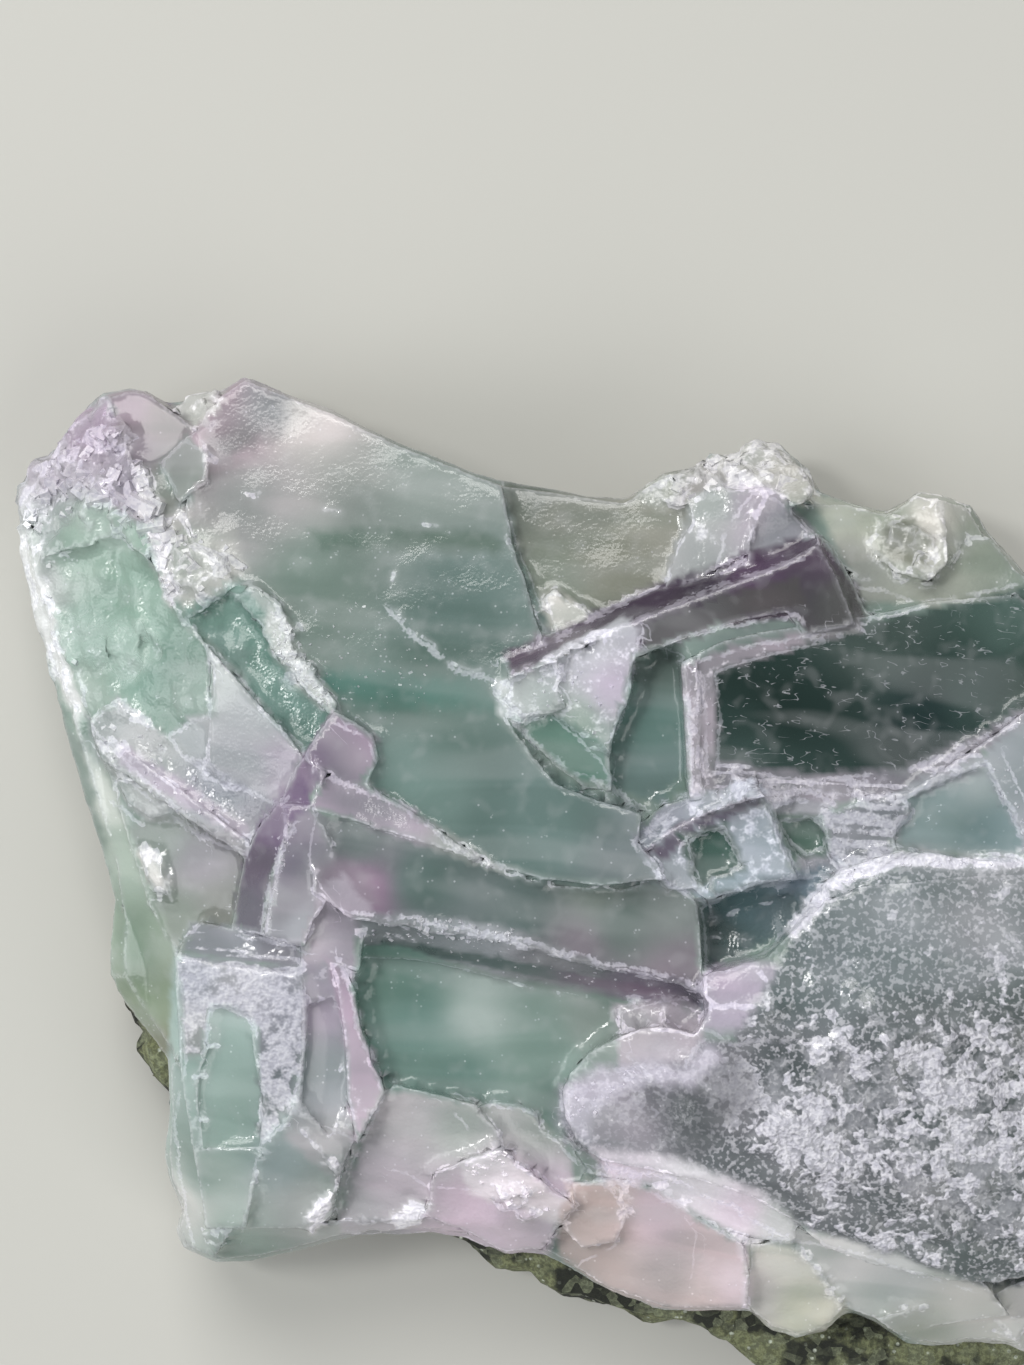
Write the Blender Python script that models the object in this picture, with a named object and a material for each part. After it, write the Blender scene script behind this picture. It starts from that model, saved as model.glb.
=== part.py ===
"""Fluorite specimen lying on its back: interlocking green and violet cubes over a slab of dark rock.

Run it with: blender --background --python part.py

The face of the specimen looks up, along +Z. Every outline is read off a ruler laid on that face, in
millimetres: across from the left, and down from the top. The readings are taken by eye from EYE_HEIGHT,
so a spot that lies lower than the ruler is really a little farther out than its reading.
Heights are millimetres above the table.
"""

import math
import random

import bmesh
import bpy
from mathutils import Vector, noise

MM = 0.001
EYE_ACROSS = 51.2  # the ruler reading straight below the eye
EYE_DOWN = 68.25
EYE_HEIGHT = 326.0
RULER_HEIGHT = 26.0
CENTRE_ACROSS = 58.574  # the middle of the finished specimen
CENTRE_DOWN = 90.307
MIDDLE_ACROSS = 60.0  # the reading that outlines are drawn in towards
MIDDLE_DOWN = 88.0
CRYSTAL_FOOT = 10.0  # every crystal is rooted this high, inside the body of the specimen
CRYSTAL_OVERLAP = 0.09  # how far neighbouring crystals' corners stray into each other
GAP = 0.3  # between the fluorite and the rock that it grew on

ROCK_TOP = 7.6
ROCK_WAVE = 1.3

# The broken rim of the fluorite, clockwise from the left end of the top edge.
RIM = [
    (1.9, 51.5), (2.1, 48.6), (3.6, 46.1), (5.2, 45.7), (7.0, 42.7), (8.6, 40.9), (10.3, 39.4),
    (13.2, 38.9), (14.6, 39.1), (16.9, 40.5), (18.3, 40.2), (20.0, 39.2), (22.2, 39.2), (24.5, 37.7),
    (28.5, 39.4), (33.0, 41.0), (36.2, 42.5), (40.0, 44.4), (44.0, 46.0), (47.5, 47.4), (50.3, 48.3),
    (55.0, 49.0), (59.0, 49.7), (62.2, 50.0), (64.4, 49.2), (66.5, 47.5), (70.0, 46.5), (73.5, 45.6),
    (76.0, 44.2), (77.6, 44.4), (79.2, 45.6), (80.8, 46.9), (81.9, 49.2), (84.5, 50.2), (88.6, 51.1),
    (90.5, 50.3), (91.8, 49.2), (94.2, 49.7), (97.0, 50.8), (98.6, 53.2), (100.4, 55.1), (103.0, 58.0),
    (106.4, 62.4), (109.6, 67.6), (112.0, 74.0), (113.2, 81.5), (112.7, 88.0), (114.3, 97.0),
    (114.5, 105.5), (112.6, 114.4), (109.4, 121.4), (107.3, 127.0), (104.6, 132.4), (102.4, 135.2),
    (100.5, 134.3), (97.0, 134.1), (93.5, 134.5), (90.5, 134.2), (87.5, 132.1), (84.6, 130.9),
    (82.5, 133.0), (79.8, 133.6), (77.2, 132.9), (74.8, 131.0), (70.0, 131.1), (66.5, 130.9),
    (62.5, 129.6), (60.0, 128.5), (57.0, 126.6), (54.2, 125.1), (50.5, 125.4), (46.8, 123.6),
    (42.0, 123.1), (36.5, 123.4), (33.4, 123.9), (29.8, 125.0), (25.0, 126.0), (21.6, 126.2),
    (18.3, 124.7), (17.6, 122.9), (18.3, 120.6), (17.1, 118.3), (16.6, 115.6), (17.0, 110.8),
    (16.9, 106.0), (15.2, 103.4), (12.7, 100.4), (11.3, 97.6), (11.2, 94.6), (11.7, 90.0), (10.6, 85.6),
    (8.3, 79.0), (6.6, 72.5), (5.0, 66.4), (3.7, 61.6), (2.4, 56.0),
]

# The rock behind it, which shows past the fluorite along the bottom edge and at one spot on the left.
ROCK_OUTLINE = [
    (11.5, 98.2), (13.8, 92.6), (19.0, 85.0), (25.4, 76.6), (33.0, 68.0), (42.4, 60.4), (53.0, 55.6),
    (65.0, 53.4), (78.0, 52.8), (90.0, 55.6), (98.6, 59.6), (105.2, 66.6), (109.4, 76.0), (110.4, 86.4),
    (111.8, 97.0), (112.4, 106.4), (110.2, 116.0), (107.6, 124.6), (105.4, 131.4), (103.6, 136.0),
    (99.0, 138.4), (94.0, 138.9), (89.6, 139.5), (84.6, 139.2), (80.0, 138.4), (76.4, 137.0),
    (73.2, 134.8), (70.6, 133.2), (67.6, 132.3), (64.5, 132.2), (62.2, 131.2), (59.4, 130.4),
    (56.2, 129.8), (54.2, 128.6), (52.6, 127.5), (49.6, 126.8), (46.8, 124.9), (42.6, 122.4),
    (35.0, 121.0), (27.0, 120.4), (21.4, 117.0), (18.6, 111.6), (16.6, 109.2), (14.8, 107.2),
    (13.8, 104.8), (14.0, 103.0), (12.4, 100.8),
]

# Each crystal face: its outline, and three spots (across, down, height) that its plane runs through.
LEFT_TOWER = {
    "frosted_shoulder": (
        [(2.3, 49.2), (3.9, 46.5), (5.4, 46.1), (7.2, 43.0), (10.4, 39.8), (11.4, 41.0), (12.3, 44.0),
         (13.7, 47.0), (15.5, 52.0), (14.6, 56.0), (11.6, 53.4), (7.4, 54.8), (4.4, 56.2), (2.4, 54.5)],
        [(3, 50, 13.5), (11, 41, 17.0), (14, 51, 21.0)],
    ),
    "left_green_face": (
        [(4.4, 56.0), (7.2, 54.2), (11.0, 52.6), (13.2, 51.0), (15.0, 56.0), (17.4, 60.0), (20.8, 64.6),
         (21.2, 71.6), (18.8, 72.2), (16.8, 73.9), (11.8, 70.6), (9.0, 72.0), (7.8, 67.0), (5.8, 62.0)],
        [(6, 57, 15.0), (17, 60, 21.5), (12, 70, 17.8)],
    ),
    "pink_top_face": (
        [(10.6, 39.7), (13.3, 39.1), (14.6, 39.3), (16.8, 40.7), (19.7, 43.0), (18.8, 45.0), (17.0, 48.0),
         (18.2, 51.4), (16.6, 53.4), (13.6, 47.2), (12.0, 43.4)],
        [(11, 40, 16.6), (19, 43, 18.6), (16, 51, 20.4)],
    ),
    "smoky_chip": (
        [(16.0, 46.3), (18.8, 43.7), (19.8, 43.0), (21.0, 45.5), (20.7, 48.2), (18.6, 49.7), (17.8, 50.5)],
        [(16, 46.3, 20.2), (19.5, 43, 20.6), (18.5, 50, 22.4)],
    ),
    "white_nub": (
        [(18.0, 40.9), (18.8, 39.7), (20.0, 39.2), (22.1, 39.3), (21.4, 41.2), (19.4, 43.0)],
        [(18, 41, 16.0), (22, 39.3, 16.2), (19.4, 43, 18.4)],
    ),
    "white_splinter": (
        [(13.5, 46.9), (14.7, 46.6), (16.0, 51.0), (17.2, 54.8), (18.4, 58.2), (17.2, 60.6), (15.1, 56.3)],
        [(14, 47, 21.4), (17.2, 60, 22.6), (17, 54, 21.4)],
    ),
    "frosted_heap": (
        [(16.6, 53.6), (20.0, 54.6), (22.4, 55.8), (23.2, 58.6), (20.8, 60.6), (18.2, 62.4), (16.8, 60.0)],
        [(17, 54, 22.4), (23, 58, 24.0), (18.2, 62.4, 22.4)],
    ),
    "lip_of_left_edge": (
        [(2.6, 56.0), (4.4, 56.2), (5.8, 62.0), (7.8, 67.2), (9.0, 72.2), (7.9, 73.5), (5.6, 67.0),
         (3.8, 61.0)],
        [(3, 56, 13.2), (8, 73, 13.6), (9, 71, 15.6)],
    ),
}

MAIN_PLATE = {
    "main_face": (
        [(19.4, 43.4), (22.2, 39.6), (24.5, 37.9), (28.5, 39.6), (33.0, 41.2), (40.0, 44.6), (47.5, 47.6),
         (50.3, 48.5), (51.3, 54.0), (52.8, 60.0), (54.6, 64.4), (50.2, 68.4), (50.3, 71.4), (53.4, 75.6),
         (55.6, 78.4), (60.0, 80.2), (64.2, 81.4), (63.7, 84.0), (66.8, 87.9), (60.0, 88.6),
         (54.0, 87.9), (49.5, 86.6), (44.4, 83.3), (38.0, 79.6), (33.4, 76.0), (33.4, 71.4),
         (31.4, 68.6), (28.6, 64.6), (28.2, 61.4), (25.4, 58.4), (21.8, 58.6), (19.6, 55.6),
         (18.4, 51.6), (19.4, 47.6)],
        [(25, 40, 20.5), (50, 50, 23.2), (45, 83, 28.2)],
    ),
    "upper_wedge": (
        [(24.4, 38.0), (28.5, 39.6), (40.0, 44.6), (50.2, 48.6), (50.9, 52.8), (40.0, 52.4), (24.0, 49.4),
         (20.4, 46.0), (20.8, 43.0)],
        [(24.4, 38, 20.2), (50.2, 48.6, 23.1), (30, 51, 22.65)],
    ),
    "conchoidal_flake": (
        [(38.7, 60.2), (42.0, 63.6), (45.6, 66.6), (49.8, 68.3), (52.4, 66.6), (53.9, 63.6), (52.4, 57.6),
         (50.2, 53.0), (44.0, 53.2), (39.6, 56.4)],
        [(39, 60.3, 24.5), (50, 68.2, 26.5), (46, 53.5, 23.7)],
    ),
    "green_gutter": (
        [(17.6, 61.4), (22.0, 58.6), (26.0, 60.0), (29.4, 65.4), (33.8, 71.2), (31.0, 76.4), (20.4, 64.8)],
        [(18, 61, 21.3), (28, 66, 23.4), (31, 74, 24.6)],
    ),
    "ridge_of_gutter": (
        [(25.2, 58.2), (28.0, 60.4), (29.2, 64.4), (33.8, 70.6), (33.2, 71.8), (28.4, 66.6), (26.2, 62.6),
         (23.6, 59.8)],
        [(26, 59, 24.6), (33.5, 71, 27.0), (27, 64, 24.4)],
    ),
    "smoky_block": (
        [(50.1, 48.5), (55.0, 49.2), (60.0, 50.0), (62.4, 50.3), (66.5, 47.9), (71.0, 48.6), (75.0, 50.0),
         (79.0, 54.4), (70.0, 58.4), (62.0, 61.8), (55.2, 65.0), (52.9, 60.6), (51.3, 54.0)],
        [(52, 50, 21.0), (70, 48.6, 22.4), (60, 62, 24.0)],
    ),
    "milky_tab": (
        [(54.2, 59.8), (55.6, 58.8), (57.2, 60.4), (58.4, 60.6), (59.2, 62.6), (55.8, 64.2), (55.0, 61.6)],
        [(54.2, 60, 24.2), (57.2, 60.4, 24.4), (55.8, 64, 25.0)],
    ),
}

TOP_CROWN = {
    "white_crown": (
        [(64.6, 49.2), (66.6, 47.7), (70.0, 46.7), (73.5, 45.8), (76.0, 44.5), (77.6, 44.7), (79.0, 45.8),
         (80.6, 47.1), (81.6, 49.2), (79.4, 50.8), (77.2, 49.0), (72.0, 49.3), (68.0, 50.4)],
        [(65, 49, 22.0), (77, 44.5, 22.4), (77, 49, 26.4)],
    ),
    "lilac_fin": (
        [(68.8, 49.6), (72.0, 48.9), (76.9, 48.5), (76.0, 51.6), (75.0, 55.2), (70.6, 57.4), (66.4, 58.9),
         (67.6, 55.0), (69.4, 52.4)],
        [(69, 50, 24.2), (76.8, 48.6, 27.6), (68, 58, 25.0)],
    ),
    "lilac_fin_side": (
        [(76.7, 48.4), (77.8, 48.6), (79.0, 51.0), (82.0, 54.0), (78.4, 55.0), (74.6, 56.0), (75.7, 51.8)],
        [(77, 48.6, 27.8), (75, 55.4, 26.6), (82, 54, 25.6)],
    ),
    "pale_shoulder": (
        [(78.6, 50.4), (84.4, 50.5), (88.5, 51.4), (90.0, 54.6), (93.4, 58.2), (86.0, 58.0), (82.6, 55.4),
         (79.6, 52.8)],
        [(79, 51, 25.2), (88, 51.6, 23.2), (86, 58, 25.6)],
    ),
    "clear_knob": (
        [(88.5, 51.5), (90.5, 50.6), (91.8, 49.5), (94.0, 50.0), (94.8, 53.2), (94.6, 56.4), (92.8, 58.2),
         (89.4, 57.0), (87.2, 54.8)],
        [(88.5, 51.6, 23.6), (93.5, 50, 24.4), (92, 57.6, 27.2)],
    ),
    "clear_knob_side": (
        [(93.6, 49.8), (96.9, 51.0), (98.5, 53.4), (96.0, 54.5), (95.0, 56.6), (94.0, 56.2)],
        [(94, 50, 25.0), (98.4, 53.4, 22.6), (94.6, 56.2, 25.6)],
    ),
    "grey_plate": (
        [(94.8, 54.4), (98.8, 53.5), (100.4, 55.3), (103.0, 58.3), (106.2, 62.6), (98.0, 62.0),
         (86.4, 61.8), (85.2, 57.8), (93.4, 58.4)],
        [(86, 58, 25.2), (99, 54, 23.6), (105, 62.4, 25.2)],
    ),
}

VIOLET_BAR = {
    "violet_bevel": (
        [(50.2, 65.3), (58.0, 62.1), (62.0, 60.4), (70.0, 57.0), (78.0, 54.3), (81.8, 53.2), (82.0, 54.6),
         (78.0, 56.7), (70.0, 59.8), (63.0, 62.4), (56.0, 65.8), (50.8, 68.0)],
        [(62, 60.4, 24.0), (63, 62.4, 28.4), (78, 54.3, 24.8)],
    ),
    "violet_bar_top": (
        [(62.6, 62.3), (70.0, 59.7), (78.0, 56.5), (81.8, 54.3), (83.6, 57.6), (84.9, 60.4), (85.6, 62.6),
         (80.4, 63.6), (79.8, 62.6), (78.6, 61.2), (73.4, 62.2), (69.0, 63.6), (64.3, 65.4), (63.0, 64.0)],
        [(63, 62.4, 28.4), (82, 55, 29.4), (80, 63, 28.6)],
    ),
    "violet_bar_end": (
        [(81.5, 53.1), (83.4, 54.6), (85.4, 58.4), (86.9, 61.8), (85.6, 63.1), (84.2, 60.4), (82.4, 56.4)],
        [(82.5, 56, 29.0), (85.2, 62.4, 28.6), (85.6, 58.6, 26.6)],
    ),
    "lilac_break": (
        [(49.4, 68.9), (53.0, 66.8), (58.0, 64.9), (63.0, 62.4), (64.6, 63.4), (63.4, 66.2), (63.1, 69.6),
         (61.7, 72.6), (60.9, 75.8), (57.8, 73.4), (55.0, 71.4), (52.0, 72.4), (50.2, 71.4)],
        [(50, 69, 26.6), (63, 62.4, 28.4), (60.8, 75.4, 25.6)],
    ),
    "lilac_break_step": (
        [(51.4, 67.6), (55.8, 65.8), (56.2, 68.0), (55.6, 69.0), (56.8, 70.9), (52.2, 71.8), (50.6, 70.2)],
        [(51.4, 67.6, 27.9), (55.8, 65.8, 28.5), (52.2, 71.8, 27.0)],
    ),
    "green_facet_below_break": (
        [(51.9, 72.5), (55.2, 71.3), (60.9, 75.4), (61.3, 79.1), (58.6, 78.9), (55.6, 76.7), (53.2, 74.4)],
        [(53, 72.6, 25.4), (61, 75.6, 25.2), (60, 79, 24.6)],
    ),
    "floor_under_bar": (
        [(60.4, 80.0), (60.4, 74.0), (62.0, 69.0), (64.0, 64.6), (73.0, 61.4), (81.0, 61.0), (80.0, 66.0),
         (72.0, 78.0), (66.0, 81.6)],
        [(64, 66, 23.4), (76, 63, 24.4), (66, 80, 22.8)],
    ),
}

DARK_CUBE = {
    "dark_cube_top": (
        [(68.3, 66.2), (70.0, 65.2), (72.4, 64.1), (76.0, 63.2), (80.0, 62.6), (86.6, 61.7), (93.0, 60.2),
         (102.0, 59.4), (106.6, 63.2), (109.8, 68.2), (103.6, 72.4), (97.0, 77.4), (90.0, 79.8),
         (80.0, 78.2), (69.3, 77.2), (68.9, 72.0)],
        [(69, 67, 28.6), (70, 77, 28.4), (104, 64, 27.0)],
    ),
    "dark_cube_rail": (
        [(68.1, 66.2), (69.6, 65.6), (70.2, 70.0), (70.0, 76.0), (70.4, 79.9), (69.0, 80.1), (68.4, 74.0)],
        [(68.2, 66.3, 28.9), (70.2, 70, 29.3), (69, 80, 28.6)],
    ),
    "dark_cube_ledge": (
        [(68.4, 77.0), (76.0, 76.6), (84.0, 77.6), (90.6, 79.4), (88.0, 80.8), (82.0, 80.4), (76.6, 80.9),
         (69.2, 79.9)],
        [(69, 78, 28.0), (88, 80, 27.0), (77, 80.8, 27.2)],
    ),
    "cube_ledge_step": (
        [(76.0, 78.9), (80.4, 78.6), (86.6, 79.6), (88.4, 78.9), (90.4, 78.9), (88.2, 80.9), (83.8, 81.4),
         (80.6, 81.8), (76.6, 81.6)],
        [(76.4, 79, 27.7), (90, 79, 28.2), (80, 81.6, 26.9)],
    ),
}

SMALL_CUBES = {
    "small_cube_bevel": (
        [(63.1, 83.8), (63.9, 82.2), (66.4, 80.6), (70.0, 79.1), (75.6, 77.2), (76.4, 79.7), (72.0, 81.0),
         (68.0, 82.6), (64.6, 85.4)],
        [(64, 82.6, 25.4), (70, 79.1, 26.4), (68, 82.6, 28.8)],
    ),
    "small_cube_top": (
        [(64.4, 85.3), (68.0, 82.5), (72.0, 80.9), (76.3, 79.5), (78.0, 83.8), (79.8, 88.0), (76.0, 88.5),
         (70.9, 90.0), (69.3, 88.8), (66.8, 89.1), (65.0, 87.4)],
        [(65, 85.5, 28.2), (76, 80, 29.4), (79, 88, 28.4)],
    ),
    "small_cube_side": (
        [(76.0, 79.5), (77.0, 80.2), (78.6, 83.6), (81.2, 87.6), (79.4, 88.3), (77.6, 84.0)],
        [(76.4, 80, 28.6), (79.6, 88, 27.6), (80.6, 87, 26.6)],
    ),
    "second_small_cube": (
        [(76.8, 80.4), (82.6, 80.6), (84.6, 83.0), (84.4, 87.2), (81.0, 88.6), (78.4, 83.8)],
        [(77, 80.6, 26.8), (84, 83, 27.0), (82, 88, 25.6)],
    ),
    "pale_corner_cube": (
        [(82.2, 81.6), (84.4, 80.6), (88.2, 79.6), (90.4, 79.2), (91.0, 81.4), (89.8, 82.1), (89.5, 85.0),
         (84.6, 87.2), (82.9, 85.2), (82.4, 83.4)],
        [(83, 82, 27.6), (90, 79.5, 28.8), (88, 86, 27.8)],
    ),
    "pale_green_cube": (
        [(88.4, 80.4), (94.0, 77.4), (99.0, 73.8), (103.0, 70.8), (109.6, 67.4), (112.0, 73.6),
         (113.0, 80.8), (112.2, 86.2), (102.0, 86.8), (95.0, 86.0), (89.4, 85.6), (90.0, 82.2)],
        [(90, 81, 28.4), (103, 71, 30.4), (110, 85, 28.0)],
    ),
    "white_sill": (
        [(80.8, 90.2), (84.2, 87.0), (89.6, 85.2), (96.0, 85.8), (103.0, 86.3), (112.4, 85.8),
         (112.6, 88.4), (95.0, 88.2), (86.0, 89.6)],
        [(82, 90, 26.6), (95, 86, 29.4), (112, 86, 27.8)],
    ),
    "pit_floor": (
        [(69.6, 89.4), (74.0, 88.6), (84.0, 86.0), (86.0, 90.0), (80.0, 96.0), (70.0, 98.0)],
        [(70, 90, 23.4), (84, 88, 25.2), (72, 97, 24.0)],
    ),
    "blue_ramp": (
        [(70.8, 90.0), (76.0, 88.4), (80.0, 87.8), (84.2, 86.6), (82.0, 89.4), (76.0, 92.2), (71.2, 92.4)],
        [(72, 89.8, 25.6), (83, 87, 26.6), (74, 92.4, 22.8)],
    ),
}

MIDDLE_STEPS = {
    "violet_corner_top": (
        [(30.2, 75.9), (31.6, 73.6), (33.3, 71.0), (35.4, 72.0), (37.4, 73.4), (37.9, 75.8), (36.4, 78.8),
         (33.4, 77.6)],
        [(33.3, 71, 28.0), (30.4, 76, 28.8), (37.8, 76, 28.2)],
    ),
    "violet_corner_side": (
        [(28.0, 80.3), (28.9, 78.0), (30.2, 75.7), (32.6, 77.2), (31.8, 79.0), (30.6, 80.9)],
        [(28.3, 80, 26.2), (30.2, 75.8, 27.2), (31.4, 79.6, 29.4)],
    ),
    "violet_wall": (
        [(23.2, 92.9), (23.8, 88.4), (24.7, 84.6), (26.4, 81.8), (28.1, 80.2), (28.9, 82.6), (27.7, 87.0),
         (26.7, 93.8)],
        [(23.4, 92.6, 24.2), (24.8, 84.6, 24.8), (27.6, 88, 29.6)],
    ),
    "violet_block_top": (
        [(26.5, 93.8), (27.4, 87.2), (28.4, 82.4), (28.6, 80.3), (31.0, 80.6), (33.4, 84.4), (33.6, 88.4),
         (31.6, 92.0), (30.4, 94.8)],
        [(28, 83, 29.6), (27, 93.5, 29.4), (33, 86, 30.2)],
    ),
    "pale_wedge": (
        [(31.0, 80.8), (31.7, 78.6), (33.2, 77.5), (36.2, 78.3), (40.0, 80.4), (44.5, 83.4), (50.0, 87.2),
         (44.5, 85.0), (36.0, 82.4)],
        [(33, 78, 28.9), (48, 86, 29.5), (36, 82.2, 29.9)],
    ),
    "green_wedge": (
        [(30.8, 80.5), (36.0, 82.1), (44.5, 84.8), (50.0, 87.0), (55.0, 88.4), (62.0, 88.9), (66.6, 87.7),
         (68.6, 89.0), (69.9, 90.6), (70.1, 95.6), (70.4, 99.2), (66.0, 98.2), (62.0, 97.2), (55.0, 95.4),
         (48.0, 93.9), (42.0, 93.1), (35.0, 91.9), (31.4, 89.2)],
        [(33, 83, 29.4), (69, 91, 27.0), (50, 93.6, 29.6)],
    ),
    "lilac_riser": (
        [(35.4, 91.6), (42.0, 92.7), (48.0, 93.5), (55.0, 95.0), (62.0, 96.8), (70.5, 98.8), (70.4, 101.2),
         (67.0, 103.0), (62.0, 101.2), (58.0, 100.1), (50.0, 97.9), (42.0, 96.1), (35.6, 95.7)],
        [(42, 93, 29.2), (62, 97, 28.4), (50, 97.9, 25.0)],
    ),
    "pink_strip": (
        [(31.0, 91.0), (32.2, 88.0), (33.4, 86.4), (36.0, 87.4), (38.2, 88.8), (37.8, 91.8), (36.4, 92.8),
         (35.9, 97.4), (33.4, 96.2), (32.0, 98.0), (30.0, 97.4), (30.2, 94.4)],
        [(33.4, 87, 29.6), (37.6, 91, 28.8), (32.4, 97.4, 27.8)],
    ),
    "green_floor": (
        [(34.6, 95.0), (44.0, 94.0), (58.0, 98.0), (64.0, 101.0), (64.0, 107.0), (59.0, 109.6),
         (58.0, 115.0), (52.0, 114.4), (44.0, 111.4), (36.0, 111.0), (34.4, 103.0)],
        [(37, 97, 24.2), (61, 102, 24.4), (55, 112, 22.6)],
    ),
    "cream_crystal": (
        [(61.4, 101.2), (63.6, 100.0), (66.2, 99.8), (66.6, 103.0), (66.2, 107.2), (63.2, 106.4),
         (62.4, 104.0)],
        [(62, 101, 25.4), (66, 100, 26.6), (64, 106.6, 25.6)],
    ),
    "cream_crystal_side": (
        [(66.0, 99.6), (70.4, 100.4), (70.2, 104.2), (69.0, 107.4), (65.8, 107.4), (66.4, 103.0)],
        [(66.2, 100, 26.8), (70, 101, 26.0), (68, 107, 25.8)],
    ),
    "pink_saddle": (
        [(70.0, 97.0), (74.6, 96.2), (78.0, 94.4), (79.4, 98.0), (78.0, 102.6), (74.0, 104.6),
         (70.2, 102.8)],
        [(70.4, 98, 25.2), (78, 95, 26.8), (74, 104, 26.4)],
    ),
}

LEFT_SLOPE = {
    "lilac_plate": (
        [(20.6, 64.4), (25.0, 69.4), (28.0, 72.6), (30.2, 75.5), (29.4, 78.0), (28.1, 80.6), (22.0, 78.0),
         (20.6, 76.8), (21.0, 72.0), (21.4, 67.8)],
        [(21, 65, 25.2), (30, 75.5, 26.6), (21, 76.6, 22.8)],
    ),
    "lilac_slope": (
        [(8.9, 71.8), (10.4, 70.6), (11.8, 70.2), (14.2, 71.8), (16.8, 73.7), (18.8, 71.8), (20.9, 72.0),
         (21.3, 76.2), (28.1, 80.4), (26.2, 82.6), (24.8, 84.8), (19.0, 81.2), (13.0, 77.2), (9.8, 75.4)],
        [(10, 72, 17.4), (20.8, 72.5, 22.6), (26, 82, 23.8)],
    ),
    "slope_rib": (
        [(9.6, 74.2), (13.0, 75.2), (18.4, 79.2), (24.8, 84.0), (24.6, 85.8), (17.6, 81.2), (12.4, 77.4),
         (9.9, 76.0)],
        [(10, 75, 17.8), (24.6, 85, 25.0), (13, 75.4, 19.2)],
    ),
    "grey_slope": (
        [(10.6, 76.4), (13.0, 77.4), (17.6, 80.8), (24.6, 85.4), (23.4, 93.0), (19.6, 92.6), (17.6, 95.4),
         (15.0, 90.6), (12.8, 84.0)],
        [(12, 78, 16.6), (24, 86, 22.8), (18, 93, 19.2)],
    ),
    "white_scale": (
        [(11.6, 77.8), (13.4, 78.2), (16.2, 79.6), (17.6, 81.2), (15.0, 81.8), (12.8, 80.4)],
        [(12, 78, 17.8), (17.4, 81, 20.4), (14, 81.4, 18.6)],
    ),
    "white_scale_below": (
        [(14.0, 85.0), (15.6, 85.4), (16.4, 87.4), (17.0, 89.6), (15.0, 89.0)],
        [(14.2, 85.2, 18.2), (17, 89, 19.6), (15, 89, 18.4)],
    ),
    "left_flank": (
        [(9.4, 75.6), (11.0, 76.6), (13.2, 84.0), (15.4, 90.8), (18.0, 96.0), (18.2, 106.4), (15.6, 102.8),
         (12.9, 98.8), (12.4, 92.0), (11.6, 86.0)],
        [(10, 76, 14.8), (17.6, 96, 18.8), (13, 96, 13.4)],
    ),
}

LOWER_LEFT_CUBE = {
    "cube_back_strip": (
        [(18.0, 94.2), (20.0, 92.2), (24.0, 93.1), (30.4, 94.6), (30.6, 97.2), (24.0, 97.0), (17.6, 95.9)],
        [(20, 92.4, 23.2), (30.4, 94.8, 25.2), (24, 97, 27.6)],
    ),
    "frosted_cube_top": (
        [(17.6, 95.8), (24.0, 96.8), (28.0, 97.2), (30.2, 97.4), (30.6, 100.0), (30.5, 104.0),
         (30.0, 110.0), (28.6, 112.2), (26.4, 114.8), (25.4, 119.0), (24.6, 122.8), (20.6, 123.0),
         (19.4, 116.0), (18.0, 107.0), (17.7, 101.0)],
        [(18, 97, 26.6), (30, 98, 28.4), (24, 121, 24.0)],
    ),
    "bumpy_rim": (
        [(17.0, 106.4), (18.4, 106.0), (19.6, 113.0), (20.4, 119.0), (22.6, 123.6), (21.4, 125.9),
         (18.6, 124.4), (17.9, 122.9), (18.6, 120.5), (17.3, 118.0), (16.9, 115.4), (17.2, 111.0)],
        [(18, 106.4, 22.6), (22, 123.6, 19.6), (17.2, 116, 17.6)],
    ),
    "dark_lower_facet": (
        [(26.2, 114.6), (29.4, 110.9), (32.4, 112.0), (35.4, 113.9), (34.2, 117.4), (33.4, 120.4),
         (31.2, 122.9), (24.2, 122.9), (25.0, 118.4)],
        [(27, 114, 26.0), (34.6, 115, 24.2), (28, 122.6, 21.6)],
    ),
    "slate_face": (
        [(30.0, 97.3), (32.0, 97.4), (33.5, 96.7), (34.9, 100.0), (35.4, 107.0), (35.4, 114.0),
         (33.8, 117.8), (29.2, 111.4), (30.3, 104.0)],
        [(30.4, 99, 28.0), (35.2, 102, 25.8), (33, 115, 24.8)],
    ),
    "pink_blade": (
        [(32.9, 95.6), (34.2, 96.8), (35.4, 98.6), (35.8, 100.8), (36.1, 102.8), (36.8, 104.6),
         (37.2, 106.4), (38.0, 107.8), (38.6, 109.2), (37.0, 112.0), (35.6, 114.6), (34.8, 110.0),
         (34.5, 104.0), (33.9, 99.5)],
        [(34, 97, 28.0), (38.4, 109, 26.6), (35, 113, 26.4)],
    ),
    "green_bottom_lip": (
        [(20.0, 123.2), (25.0, 122.4), (31.0, 122.6), (36.0, 121.9), (41.5, 121.5), (47.2, 122.6),
         (46.8, 123.4), (42.0, 122.9), (36.5, 123.2), (33.4, 123.7), (29.8, 124.8), (25.0, 125.8),
         (21.6, 126.0)],
        [(24, 123, 19.8), (44, 122.2, 18.6), (25, 126, 15.0)],
    ),
    "white_wedge_chip": (
        [(33.8, 118.4), (33.2, 121.4), (31.2, 123.4), (30.6, 122.4), (32.2, 120.6)],
        [(33.8, 118.6, 24.4), (31.2, 123.2, 21.0), (30.8, 122.4, 22.0)],
    ),
}

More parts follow.
